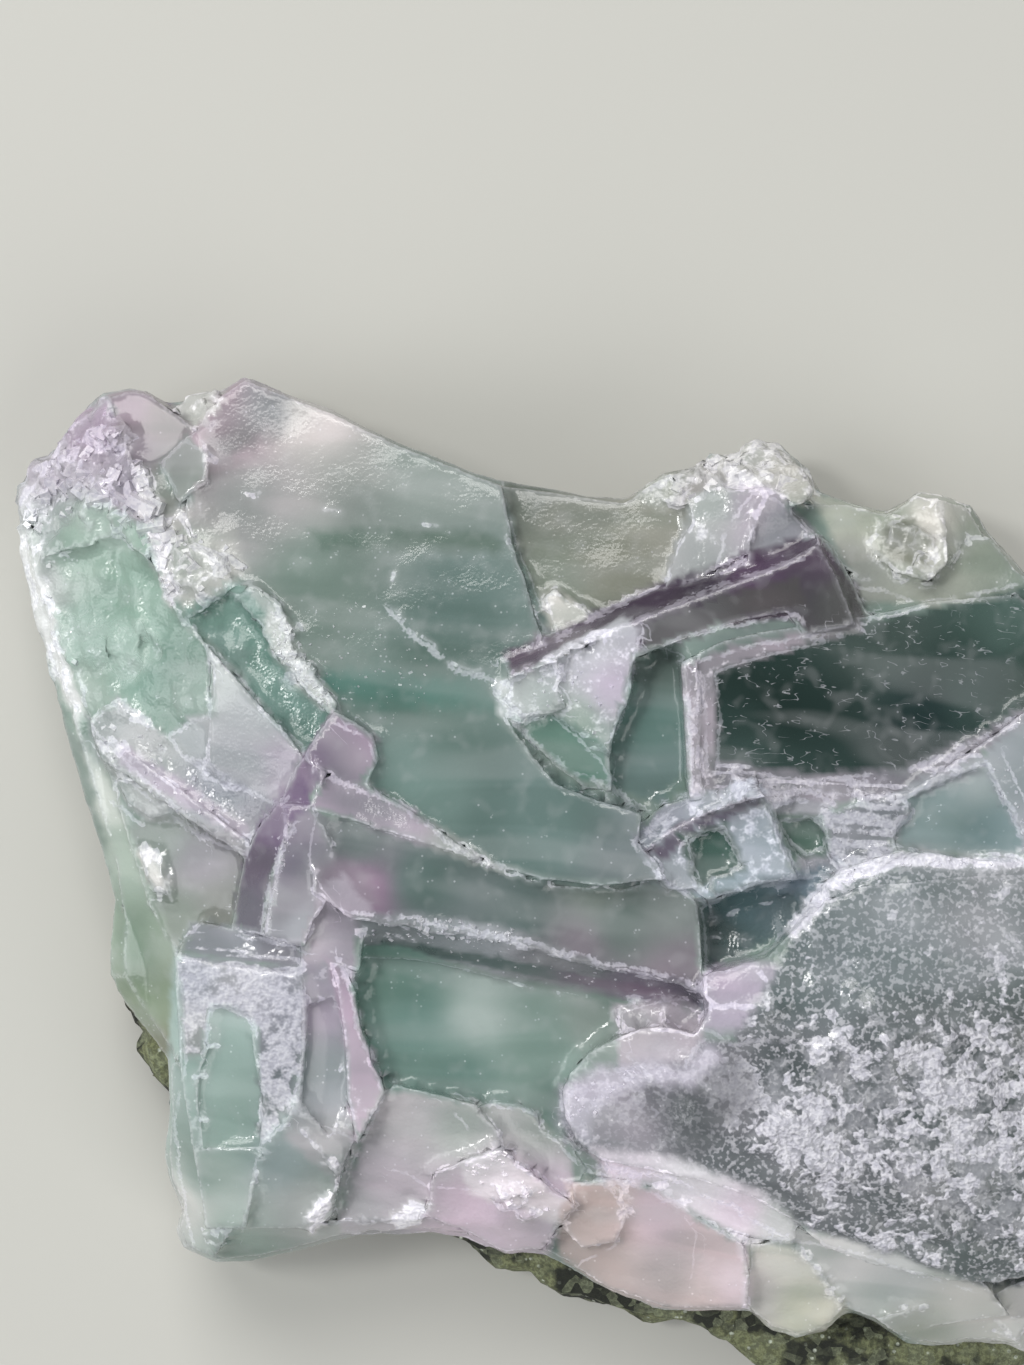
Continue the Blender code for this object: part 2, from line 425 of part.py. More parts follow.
BOTTOM_EDGE = {
    "grey_lilac_face": (
        [(38.2, 109.2), (39.6, 108.6), (44.0, 109.5), (47.6, 110.6), (50.0, 113.4), (49.4, 115.4),
         (44.0, 117.6), (41.6, 122.0), (34.0, 122.6), (33.6, 119.4), (35.5, 114.3)],
        [(39, 109.4, 25.4), (49, 114, 24.2), (38, 121, 19.8)],
    ),
    "lilac_prow": (
        [(43.2, 117.4), (47.0, 115.8), (50.2, 115.0), (52.4, 116.6), (55.0, 118.8), (57.7, 120.8),
         (55.8, 122.6), (54.2, 125.0), (50.6, 125.2), (46.8, 123.4), (42.6, 121.6)],
        [(45, 118, 24.2), (56.4, 120.6, 24.4), (50, 124.4, 19.6)],
    ),
    "broken_step": (
        [(47.4, 110.8), (49.6, 110.2), (52.0, 110.4), (53.7, 111.4), (54.2, 113.2), (56.6, 114.0),
         (58.8, 116.8), (57.2, 118.6), (55.2, 119.4), (50.6, 115.6), (49.6, 113.2)],
        [(48, 111, 24.2), (54, 112, 23.6), (56, 119, 21.4)],
    ),
    "pink_face": (
        [(56.8, 118.6), (60.0, 117.6), (63.5, 118.2), (67.0, 119.5), (70.0, 121.8), (74.4, 124.4),
         (75.0, 127.6), (74.8, 130.8), (70.0, 130.9), (66.5, 130.7), (62.5, 129.4), (60.0, 128.3),
         (57.0, 126.4), (54.3, 124.9), (55.9, 122.4), (57.6, 120.8)],
        [(60, 118, 22.8), (74, 124.6, 23.4), (65, 130.6, 17.4)],
    ),
    "pink_face_notch": (
        [(61.0, 117.8), (62.4, 119.4), (62.6, 122.0), (61.8, 124.2), (58.2, 124.8), (56.0, 122.7),
         (57.6, 120.8), (57.2, 118.4)],
        [(61, 118.2, 23.8), (57, 119, 23.4), (60, 124.6, 21.4)],
    ),
    "cream_toe": (
        [(74.9, 124.4), (79.6, 124.4), (82.0, 127.0), (84.5, 130.6), (82.4, 132.8), (79.8, 133.4),
         (77.2, 132.7), (74.9, 130.9)],
        [(76, 125, 21.8), (84, 130.4, 19.2), (78, 133, 16.4)],
    ),
    "grey_green_facet": (
        [(79.4, 122.4), (87.0, 123.4), (96.0, 125.0), (101.0, 131.6), (93.0, 132.6), (87.6, 131.9),
         (84.4, 130.6), (81.8, 127.0), (79.4, 124.6)],
        [(80, 123.4, 23.0), (96, 126, 22.2), (88, 131.8, 17.6)],
    ),
    "right_toe": (
        [(87.4, 131.9), (93.0, 130.4), (99.0, 129.6), (107.0, 125.8), (107.0, 127.4), (104.5, 132.3),
         (102.4, 134.9), (100.5, 134.1), (97.0, 133.9), (93.5, 134.3), (90.5, 134.0)],
        [(92, 131.5, 18.4), (106, 127, 17.6), (97, 134, 14.2)],
    ),
    "pink_lobe": (
        [(60.4, 115.8), (64.0, 113.8), (70.0, 115.6), (76.0, 117.2), (79.9, 121.6), (79.4, 124.4),
         (75.4, 123.8), (70.2, 121.6), (66.2, 118.8), (61.4, 117.4)],
        [(62, 116, 24.6), (78, 121, 26.0), (70, 121.4, 22.6)],
    ),
}

# Windows broken through the pale skin of three cubes, each sunk this deep.
WINDOW_DEPTH = 0.8
WINDOWS = {
    "frosted_cube_window": (
        [(21.5, 100.4), (23.4, 101.0), (25.5, 101.8), (25.2, 104.0), (25.6, 106.6), (26.3, 109.6),
         (26.0, 114.6), (20.4, 114.8), (19.8, 110.0), (20.0, 107.0), (21.0, 104.6), (20.9, 102.4)],
        "frosted_cube_top",
    ),
    "small_cube_window": (
        [(68.7, 83.9), (72.3, 82.8), (73.2, 84.6), (74.3, 86.6), (71.0, 87.8), (70.8, 89.0), (69.4, 87.6),
         (69.5, 85.6)],
        "small_cube_top",
    ),
    "second_cube_window": (
        [(78.0, 82.1), (81.0, 81.9), (82.4, 83.0), (82.3, 84.8), (80.5, 85.4), (79.2, 84.4)],
        "second_small_cube",
    ),
    "pale_green_cube_window": (
        [(90.6, 79.9), (98.6, 76.4), (100.2, 79.6), (102.6, 83.8), (102.0, 85.7), (95.0, 85.4),
         (89.9, 84.9), (90.0, 82.6), (91.2, 81.6)],
        "pale_green_cube",
    ),
    "pink_blade_hollow": (
        [(31.0, 100.4), (33.4, 99.6), (34.4, 104.0), (34.6, 110.0), (33.0, 113.6), (30.2, 110.2)],
        "slate_face",
    ),
}

# The etched dome at the lower right: a low swelling covered with small crystal points.
DOME_OUTLINE = [
    (70.2, 97.6), (73.0, 96.4), (76.6, 95.4), (79.6, 92.4), (82.2, 90.0), (86.0, 88.4), (95.0, 87.6),
    (104.0, 87.2), (112.2, 87.2), (113.8, 97.0), (114.1, 105.5), (112.2, 114.2), (109.0, 121.2),
    (106.6, 126.6), (100.0, 128.4), (93.0, 128.0), (87.0, 126.4), (82.6, 124.8), (79.4, 122.0),
    (75.0, 119.4), (70.0, 117.8), (64.0, 116.8), (60.2, 116.2), (57.8, 114.4), (56.4, 111.6),
    (56.3, 109.2), (57.2, 107.2), (59.4, 104.9), (62.4, 103.2), (66.2, 102.4), (69.4, 103.0),
    (70.6, 101.0),
]
DOME_PEAK = (90.0, 104.0, 31.4)  # across, down, height
DOME_REACH = (38.0, 26.0)  # how far across and down it falls by DOME_FALL
DOME_FALL = 5.6
DOME_EDGE_HEIGHT = 27.0
DOME_CELL = 2.4
DOME_BUMP = 0.75

# Small cubes grown on the broken ground: middle, spread, how many, and largest side.
CRUMBS = {
    "left_shoulder": ((8.6, 47.4), (3.6, 4.2), 12, 2.4),
    "frosted_heap": ((19.6, 57.8), (2.0, 2.4), 6, 2.0),
    "crown": ((74.6, 47.2), (4.8, 1.2), 10, 2.6),
    "knob": ((92.0, 54.6), (2.6, 2.2), 6, 2.2),
    "dark_cube_ledge": ((79.0, 79.0), (7.5, 1.0), 9, 1.7),
    "gutter_ridge": ((29.6, 65.6), (1.6, 3.0), 6, 1.5),
    "lilac_prow": ((49.6, 119.6), (4.2, 1.8), 5, 2.0),
    "cream_crystal": ((66.6, 104.6), (2.4, 2.0), 4, 1.8),
}

FLUORITE_COLOUR = (0.34, 0.47, 0.41, 1.0)
ROCK_COLOUR = (0.075, 0.08, 0.06, 1.0)


def spot(across, down, height):
    """A ruler reading and a height, as a point in the specimen's frame."""
    spread = (EYE_HEIGHT - height) / (EYE_HEIGHT - RULER_HEIGHT)
    true_across = EYE_ACROSS + (across - EYE_ACROSS) * spread
    true_down = EYE_DOWN + (down - EYE_DOWN) * spread
    return Vector(((true_across - CENTRE_ACROSS) * MM, (CENTRE_DOWN - true_down) * MM, height * MM))


def straight_below(point, height):
    return Vector((point.x, point.y, height * MM))


def height_on(plane, across, down):
    """The height, in millimetres, of the plane through three spots."""
    (a0, d0, h0), (a1, d1, h1), (a2, d2, h2) = plane
    det = (a1 - a0) * (d2 - d0) - (a2 - a0) * (d1 - d0)
    per_across = ((h1 - h0) * (d2 - d0) - (h2 - h0) * (d1 - d0)) / det
    per_down = ((a1 - a0) * (h2 - h0) - (a2 - a0) * (h1 - h0)) / det
    return h0 + per_across * (across - a0) + per_down * (down - d0)


def stacked_rings(name, rings):
    """A closed solid through rings of equally many points, lowest first, with a flat lid at each end."""
    bm = bmesh.new()
    loops = [[bm.verts.new(point) for point in ring] for ring in rings]
    count = len(loops[0])
    for lower, upper in zip(loops, loops[1:]):
        for i in range(count):
            j = (i + 1) % count
            bm.faces.new((lower[i], lower[j], upper[j], upper[i]))
    bm.faces.new(loops[-1])
    bm.faces.new(reversed(loops[0]))
    bmesh.ops.recalc_face_normals(bm, faces=bm.faces)
    mesh = bpy.data.meshes.new(name)
    bm.to_mesh(mesh)
    bm.free()
    return bpy.data.objects.new(name, mesh)


def helper(obj, group):
    """Files a cutter or a piece to be fused, and keeps it out of the finished object."""
    group.objects.link(obj)
    obj.hide_render = True
    obj.display_type = "WIRE"


def crystal_face(name, outline, plane, rng):
    """A prism from the crystals' common foot up to one flat face, a hair wider than its outline."""
    outline = uneven(outline, CRYSTAL_OVERLAP, rng)
    face = [spot(across, down, height_on(plane, across, down)) for across, down in outline]
    foot = [straight_below(point, CRYSTAL_FOOT - rng.uniform(0, 1)) for point in face]
    return stacked_rings(name, [foot, face])


def window_cutter(name, outline, plane):
    """A prism that sinks part of a face to a parallel floor."""
    floor = [spot(a, d, height_on(plane, a, d) - WINDOW_DEPTH) for a, d in outline]
    above = [spot(a, d, height_on(plane, a, d) + 3 * WINDOW_DEPTH) for a, d in outline]
    return stacked_rings(name, [floor, above])


def pulled_in(outline, distance):
    """The outline with every point moved this far towards the specimen's middle."""
    pulled = []
    for across, down in outline:
        reach = math.hypot(across - MIDDLE_ACROSS, down - MIDDLE_DOWN)
        keep = 1 - distance / reach
        pulled.append(
            (MIDDLE_ACROSS + (across - MIDDLE_ACROSS) * keep, MIDDLE_DOWN + (down - MIDDLE_DOWN) * keep)
        )
    return pulled


def uneven(outline, amount, rng):
    return [(a + rng.uniform(-amount, amount), d + rng.uniform(-amount, amount)) for a, d in outline]


def body_of_specimen():
    """The mass that the crystals rise from, widest a third of the way up, with a broken edge all round."""
    rng = random.Random(11)
    levels = [  # height, how far inside the rim, unevenness
        (0.0, 5.2, 0.35),
        (3.4, 2.2, 0.4),
        (7.4, 0.1, 0.15),
        (11.4, -0.1, 0.1),
        (14.2, 1.3, 0.2),
        (17.2, 9.5, 0.3),
        (19.2, 17.0, 0.3),
    ]
    rings = []
    for height, inside, amount in levels:
        outline = uneven(pulled_in(RIM, inside), amount, rng)
        rings.append([spot(a, d, height) for a, d in outline])
    return stacked_rings("fluorite", rings)


def rock_height(across, down):
    """The height of the rock's upper side, in millimetres."""
    wave = noise.noise(Vector((across * 0.06, down * 0.06, 3.1)))
    chip = noise.noise(Vector((across * 0.24, down * 0.24, 7.7)))
    return ROCK_TOP + ROCK_WAVE * wave + 0.45 * ROCK_WAVE * chip


def rock(name, grow):
    """The slab of rock, or with some growth all round, the seat that it lies in."""
    rng = random.Random(5)
    middle_across = sum(a for a, d in ROCK_OUTLINE) / len(ROCK_OUTLINE)
    middle_down = sum(d for a, d in ROCK_OUTLINE) / len(ROCK_OUTLINE)
    side_levels = [(0.0, 2.2, 0.3), (1.6, 0.7, 0.35), (4.4, 0.0, 0.25)]  # height, inside, unevenness
    bm = bmesh.new()
    loops = []
    for height, inside, amount in side_levels:
        outline = uneven(pulled_in(ROCK_OUTLINE, inside - grow), amount, rng)
        lowest = height - grow if height == 0.0 else height
        loops.append([bm.verts.new(spot(a, d, lowest)) for a, d in outline])
    for share in (0.985, 0.86, 0.7, 0.52, 0.34, 0.17):
        loop = []
        for across, down in pulled_in(ROCK_OUTLINE, -grow):
            a = middle_across + (across - middle_across) * share
            d = middle_down + (down - middle_down) * share
            edge_drop = 1.1 if share > 0.9 else 0.0
            loop.append(bm.verts.new(spot(a, d, rock_height(a, d) - edge_drop + grow)))
        loops.append(loop)
    count = len(ROCK_OUTLINE)
    for lower, upper in zip(loops, loops[1:]):
        for i in range(count):
            j = (i + 1) % count
            bm.faces.new((lower[i], lower[j], upper[j], upper[i]))
    peak = bm.verts.new(spot(middle_across, middle_down, rock_height(middle_across, middle_down) + grow))
    for i in range(count):
        bm.faces.new((loops[-1][i], loops[-1][(i + 1) % count], peak))
    bm.faces.new(reversed(loops[0]))
    bmesh.ops.recalc_face_normals(bm, faces=bm.faces)
    mesh = bpy.data.meshes.new(name)
    bm.to_mesh(mesh)
    bm.free()
    return bpy.data.objects.new(name, mesh)


def dome_height(across, down):
    """The etched dome's height, with its crystal points."""
    peak_across, peak_down, peak_height = DOME_PEAK
    reach = ((across - peak_across) / DOME_REACH[0]) ** 2 + ((down - peak_down) / DOME_REACH[1]) ** 2
    swell = noise.noise(Vector((across * 0.09, down * 0.09, 1.3)))
    points = noise.noise(Vector((across * 0.52, down * 0.52, 4.2)))
    return peak_height - DOME_FALL * reach + 1.5 * swell + DOME_BUMP * points


def etched_dome():
    """A sheet of uneven ground cut to the dome's outline."""
    left, right = min(a for a, d in DOME_OUTLINE) - 1, max(a for a, d in DOME_OUTLINE) + 1
    top, bottom = min(d for a, d in DOME_OUTLINE) - 1, max(d for a, d in DOME_OUTLINE) + 1
    columns = round((right - left) / DOME_CELL)
    rows = round((bottom - top) / DOME_CELL)
    bm = bmesh.new()
    sheet = []
    for row in range(rows + 1):
        down = top + (bottom - top) * row / rows
        line = []
        for column in range(columns + 1):
            across = left + (right - left) * column / columns
            line.append(bm.verts.new(spot(across, down, dome_height(across, down))))
        sheet.append(line)
    for row in range(rows):
        for column in range(columns):
            a, b = sheet[row][column], sheet[row][column + 1]
            c, d = sheet[row + 1][column + 1], sheet[row + 1][column]
            bm.faces.new((a, b, c))
            bm.faces.new((a, c, d))
    skirt = bmesh.ops.extrude_edge_only(bm, edges=[edge for edge in bm.edges if edge.is_boundary])
    for item in skirt["geom"]:
        if isinstance(item, bmesh.types.BMVert):
            item.co.z = (CRYSTAL_FOOT - 1) * MM
    bmesh.ops.holes_fill(bm, edges=[edge for edge in bm.edges if edge.is_boundary])
    bmesh.ops.recalc_face_normals(bm, faces=bm.faces)
    mesh = bpy.data.meshes.new("etched_dome")
    bm.to_mesh(mesh)
    bm.free()
    dome = bpy.data.objects.new("etched_dome", mesh)
    edge = [spot(a, d, DOME_EDGE_HEIGHT) for a, d in DOME_OUTLINE]
    foot = [straight_below(point, CRYSTAL_FOOT) for point in edge]
    above = [straight_below(point, 40.0) for point in edge]
    border = stacked_rings("dome_border", [foot, above])
    return dome, border


def crumb(name, middle, side, rng):
    """One small cube, turned any way."""
    bm = bmesh.new()
    bmesh.ops.create_cube(bm, size=side * MM)
    mesh = bpy.data.meshes.new(name)
    bm.to_mesh(mesh)
    bm.free()
    obj = bpy.data.objects.new(name, mesh)
    obj.location = middle
    obj.rotation_euler = [rng.uniform(-0.6, 0.6), rng.uniform(-0.6, 0.6), rng.uniform(0, math.pi)]
    return obj


def scatter_crumbs(group):
    rng = random.Random(31)
    for patch, (middle, spread, count, largest) in CRUMBS.items():
        for number in range(count):
            across = middle[0] + rng.uniform(-1, 1) * spread[0]
            down = middle[1] + rng.uniform(-1, 1) * spread[1]
            side = rng.uniform(0.55, 1.0) * largest
            ground = ground_height(across, down)
            if ground is not None:
                place = spot(across, down, ground - 0.15 * side)
                helper(crumb(f"{patch}_crumb_{number}", place, side, rng), group)


def inside(outline, across, down):
    """Whether a ruler reading lies within an outline."""
    found = False
    for (a0, d0), (a1, d1) in zip(outline, outline[1:] + outline[:1]):
        if (d0 > down) != (d1 > down) and across < a0 + (a1 - a0) * (down - d0) / (d1 - d0):
            found = not found
    return found


def ground_height(across, down):
    """The highest crystal face at a ruler reading, or None beside the crystals."""
    heights = [
        height_on(plane, across, down)
        for faces in CRYSTAL_GROUPS
        for outline, plane in faces.values()
        if inside(outline, across, down)
    ]
    return max(heights, default=None)


CRYSTAL_GROUPS = [
    LEFT_TOWER, MAIN_PLATE, TOP_CROWN, VIOLET_BAR, DARK_CUBE, SMALL_CUBES, MIDDLE_STEPS, LEFT_SLOPE,
    LOWER_LEFT_CUBE, BOTTOM_EDGE,
]


def fused(obj, name, operation, group=None, other=None):
    """Adds a Boolean that joins or cuts with one object or a whole group."""
    modifier = obj.modifiers.new(name, "BOOLEAN")
    modifier.operation = operation
    modifier.solver = "EXACT"
    if group is not None:
        modifier.operand_type = "COLLECTION"
        modifier.collection = group
    else:
        modifier.object = other


def coloured(obj, name, colour, roughness, transmission):
    material = bpy.data.materials.new(name)
    material.use_nodes = True
    shader = material.node_tree.nodes["Principled BSDF"]
    shader.inputs["Base Color"].default_value = colour
    shader.inputs["Roughness"].default_value = roughness
    shader.inputs["Metallic"].default_value = 0.0
    shader.inputs["Transmission Weight"].default_value = transmission
    shader.inputs["IOR"].default_value = 1.434 if transmission else 1.5
    obj.data.materials.append(material)


def new_group(name):
    group = bpy.data.collections.new(name)
    bpy.context.scene.collection.children.link(group)
    return group


def make_fluorite():
    faces, windows = new_group("crystal_faces"), new_group("windows")
    body = body_of_specimen()
    bpy.context.scene.collection.objects.link(body)
    planes = {}
    rng = random.Random(47)
    for group in CRYSTAL_GROUPS:
        for name, (outline, plane) in group.items():
            planes[name] = plane
            helper(crystal_face(name, outline, plane, rng), faces)
    dome, border = etched_dome()
    helper(dome, faces)
    cutters = new_group("dome_cutters")
    helper(border, cutters)
    fused(dome, "dome_outline", "INTERSECT", other=border)
    scatter_crumbs(faces)
    for name, (outline, face) in WINDOWS.items():
        helper(window_cutter(name, outline, planes[face]), windows)
    seat = rock("rock_seat", GAP)
    helper(seat, cutters)
    fused(body, "crystals", "UNION", group=faces)
    fused(body, "window_cuts", "DIFFERENCE", group=windows)
    fused(body, "rock_seat", "DIFFERENCE", other=seat)
    coloured(body, "fluorite", FLUORITE_COLOUR, 0.28, 0.5)


def make_rock():
    slab = rock("matrix_rock", 0.0)
    bpy.context.scene.collection.objects.link(slab)
    coloured(slab, "matrix_rock", ROCK_COLOUR, 0.85, 0.0)


def main():
    for obj in list(bpy.data.objects):
        bpy.data.objects.remove(obj)
    make_fluorite()
    make_rock()


main()
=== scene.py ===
import math
import random
import bmesh
import bpy
import numpy as np
from mathutils import Euler, Matrix, Vector, kdtree, noise
from mathutils.bvhtree import BVHTree


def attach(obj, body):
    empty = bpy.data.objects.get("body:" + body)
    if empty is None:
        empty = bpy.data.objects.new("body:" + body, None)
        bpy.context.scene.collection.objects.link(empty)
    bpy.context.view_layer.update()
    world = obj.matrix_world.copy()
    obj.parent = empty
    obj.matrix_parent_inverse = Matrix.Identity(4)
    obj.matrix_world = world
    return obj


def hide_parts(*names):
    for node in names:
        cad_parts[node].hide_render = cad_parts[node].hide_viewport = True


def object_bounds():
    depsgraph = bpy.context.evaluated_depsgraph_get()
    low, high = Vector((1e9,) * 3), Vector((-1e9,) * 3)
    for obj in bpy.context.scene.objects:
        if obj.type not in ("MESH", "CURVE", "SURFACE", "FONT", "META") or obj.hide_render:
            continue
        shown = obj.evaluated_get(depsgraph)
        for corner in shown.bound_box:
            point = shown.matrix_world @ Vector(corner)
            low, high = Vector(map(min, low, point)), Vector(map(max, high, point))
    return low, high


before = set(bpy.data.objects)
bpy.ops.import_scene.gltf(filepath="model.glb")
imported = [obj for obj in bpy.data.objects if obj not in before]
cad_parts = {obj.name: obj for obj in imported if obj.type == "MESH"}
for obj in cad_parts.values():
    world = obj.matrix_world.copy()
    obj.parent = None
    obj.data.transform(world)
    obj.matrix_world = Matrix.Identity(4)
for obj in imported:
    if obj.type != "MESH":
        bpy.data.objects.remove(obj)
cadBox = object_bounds()
print("loaded the frame")

# Every outline below is read off a ruler laid on the crystal face: millimetres across from the left
# and down from the top, as seen from the eye. A spot below the ruler is really a little farther out.
ruler = {
    "eyeAcross": 51.2,
    "eyeDown": 68.25,
    "eyeHeight": 326.0,
    "height": 26.0,
    "centreAcross": 58.574,
    "centreDown": 90.307,
}


def toRuler(points):
    mm = np.asarray(points) * 1000
    spread = (ruler["eyeHeight"] - mm[:, 2]) / (ruler["eyeHeight"] - ruler["height"])
    across = ruler["eyeAcross"] + (mm[:, 0] + ruler["centreAcross"] - ruler["eyeAcross"]) / spread
    down = ruler["eyeDown"] + (ruler["centreDown"] - mm[:, 1] - ruler["eyeDown"]) / spread
    return np.stack([across, down], axis=1)


def toFrame(across, down, height):
    spread = (ruler["eyeHeight"] - height) / (ruler["eyeHeight"] - ruler["height"])
    x = ruler["eyeAcross"] + (across - ruler["eyeAcross"]) * spread - ruler["centreAcross"]
    y = ruler["centreDown"] - ruler["eyeDown"] - (down - ruler["eyeDown"]) * spread
    return Vector((x, y, height)) / 1000


# Shader maths: a Value is a socket that can be added, multiplied and so on.
class Value:
    def __init__(self, recipe, socket):
        self.recipe = recipe
        self.socket = socket

    def math(self, operation, other=None, first=True, clamp=False):
        pair = [self, other] if first else [other, self]
        sockets = {i: v for i, v in enumerate(pair) if v is not None}
        return self.recipe.add("ShaderNodeMath", {"operation": operation, "use_clamp": clamp}, sockets)

    def __add__(self, other):
        return self.math("ADD", other)

    def __sub__(self, other):
        return self.math("SUBTRACT", other)

    def __rsub__(self, other):
        return self.math("SUBTRACT", other, first=False)

    def __mul__(self, other):
        return self.math("MULTIPLY", other)

    __radd__ = __add__
    __rmul__ = __mul__

    def clamped(self):
        return self.math("ADD", 0.0, clamp=True)

    def distance(self, other):
        return (self - other).math("ABSOLUTE")

    def higher(self, other):
        return self.math("MAXIMUM", other)

    def step(self, low, high):
        # rises smoothly from 0 at low to 1 at high, or falls where low is the larger
        if low < high:
            return self.recipe.add("ShaderNodeMapRange", {"interpolation_type": "SMOOTHSTEP"},
                                   {"Value": self, "From Min": low, "From Max": high})
        return 1 - self.step(high, low)


class Recipe:
    def __init__(self, name):
        self.material = bpy.data.materials.new(name)
        self.material.use_nodes = True
        self.tree = self.material.node_tree
        self.tree.nodes.clear()
        self.output = self.tree.nodes.new("ShaderNodeOutputMaterial")
        self.point = self.add("ShaderNodeTexCoord", {}, {}, "Object")

    def add(self, kind, settings, sockets, out=0):
        node = self.tree.nodes.new(kind)
        for key, value in settings.items():
            setattr(node, key, value)
        for key, value in sockets.items():
            if isinstance(value, Value):
                self.tree.links.new(value.socket, node.inputs[key])
            else:
                node.inputs[key].default_value = value
        return Value(self, node.outputs[out])

    def attribute(self, name, out="Fac"):
        return self.add("ShaderNodeAttribute", {"attribute_name": name}, {}, out)

    def noise(self, size, detail=4.0, roughness=0.55, point=None):
        # size is the width of one blotch in millimetres
        return self.add("ShaderNodeTexNoise", {"noise_type": "FBM", "normalize": True},
                        {"Vector": point or self.point, "Scale": 1000 / size, "Detail": detail,
                         "Roughness": roughness})

    def cells(self, size, kind="3D"):
        # the distance to each cell's middle, and a number of its own for each cell; 2D cells stand upright
        middle = self.add("ShaderNodeTexVoronoi", {"voronoi_dimensions": kind},
                          {"Vector": self.point, "Scale": 1000 / size})
        node = middle.socket.node
        return Value(self, node.outputs["Distance"]), Value(self, node.outputs["Color"])

    def stretched(self, turn, size):
        # a place to read a pattern at, whose blotches of 1 mm become this long, wide and high
        return self.add("ShaderNodeMapping", {"vector_type": "TEXTURE"},
                        {"Vector": self.point, "Rotation": (0, 0, math.radians(turn)), "Scale": size})

    def mix(self, factor, a, b, blend="MIX"):
        node = self.tree.nodes.new("ShaderNodeMix")
        node.data_type = "RGBA"
        node.blend_type = blend
        for index, value in ((0, factor), (6, a), (7, b)):
            if isinstance(value, Value):
                self.tree.links.new(value.socket, node.inputs[index])
            else:
                node.inputs[index].default_value = value if index == 0 else (*value, 1.0)
        return Value(self, node.outputs[2])

    def times(self, colour, factors):
        return self.mix(1.0, colour, factors, "MULTIPLY")

    def bump(self, height, distance, strength=1.0):
        return self.add("ShaderNodeBump", {}, {"Height": height, "Distance": distance, "Strength": strength})

    def shader(self, sockets):
        return self.add("ShaderNodeBsdfPrincipled", {}, sockets)

    def finish(self, surface, volume=None):
        self.tree.links.new(surface.socket, self.output.inputs["Surface"])
        if volume is not None:
            self.tree.links.new(volume.socket, self.output.inputs["Volume"])
        return self.material


def shade(*seen):
    # a colour as it looks, 0 to 255, turned into the values that the shader wants
    return tuple(v / 255 / 12.92 if v < 11 else ((v / 255 + 0.055) / 1.055) ** 2.4 for v in seen)


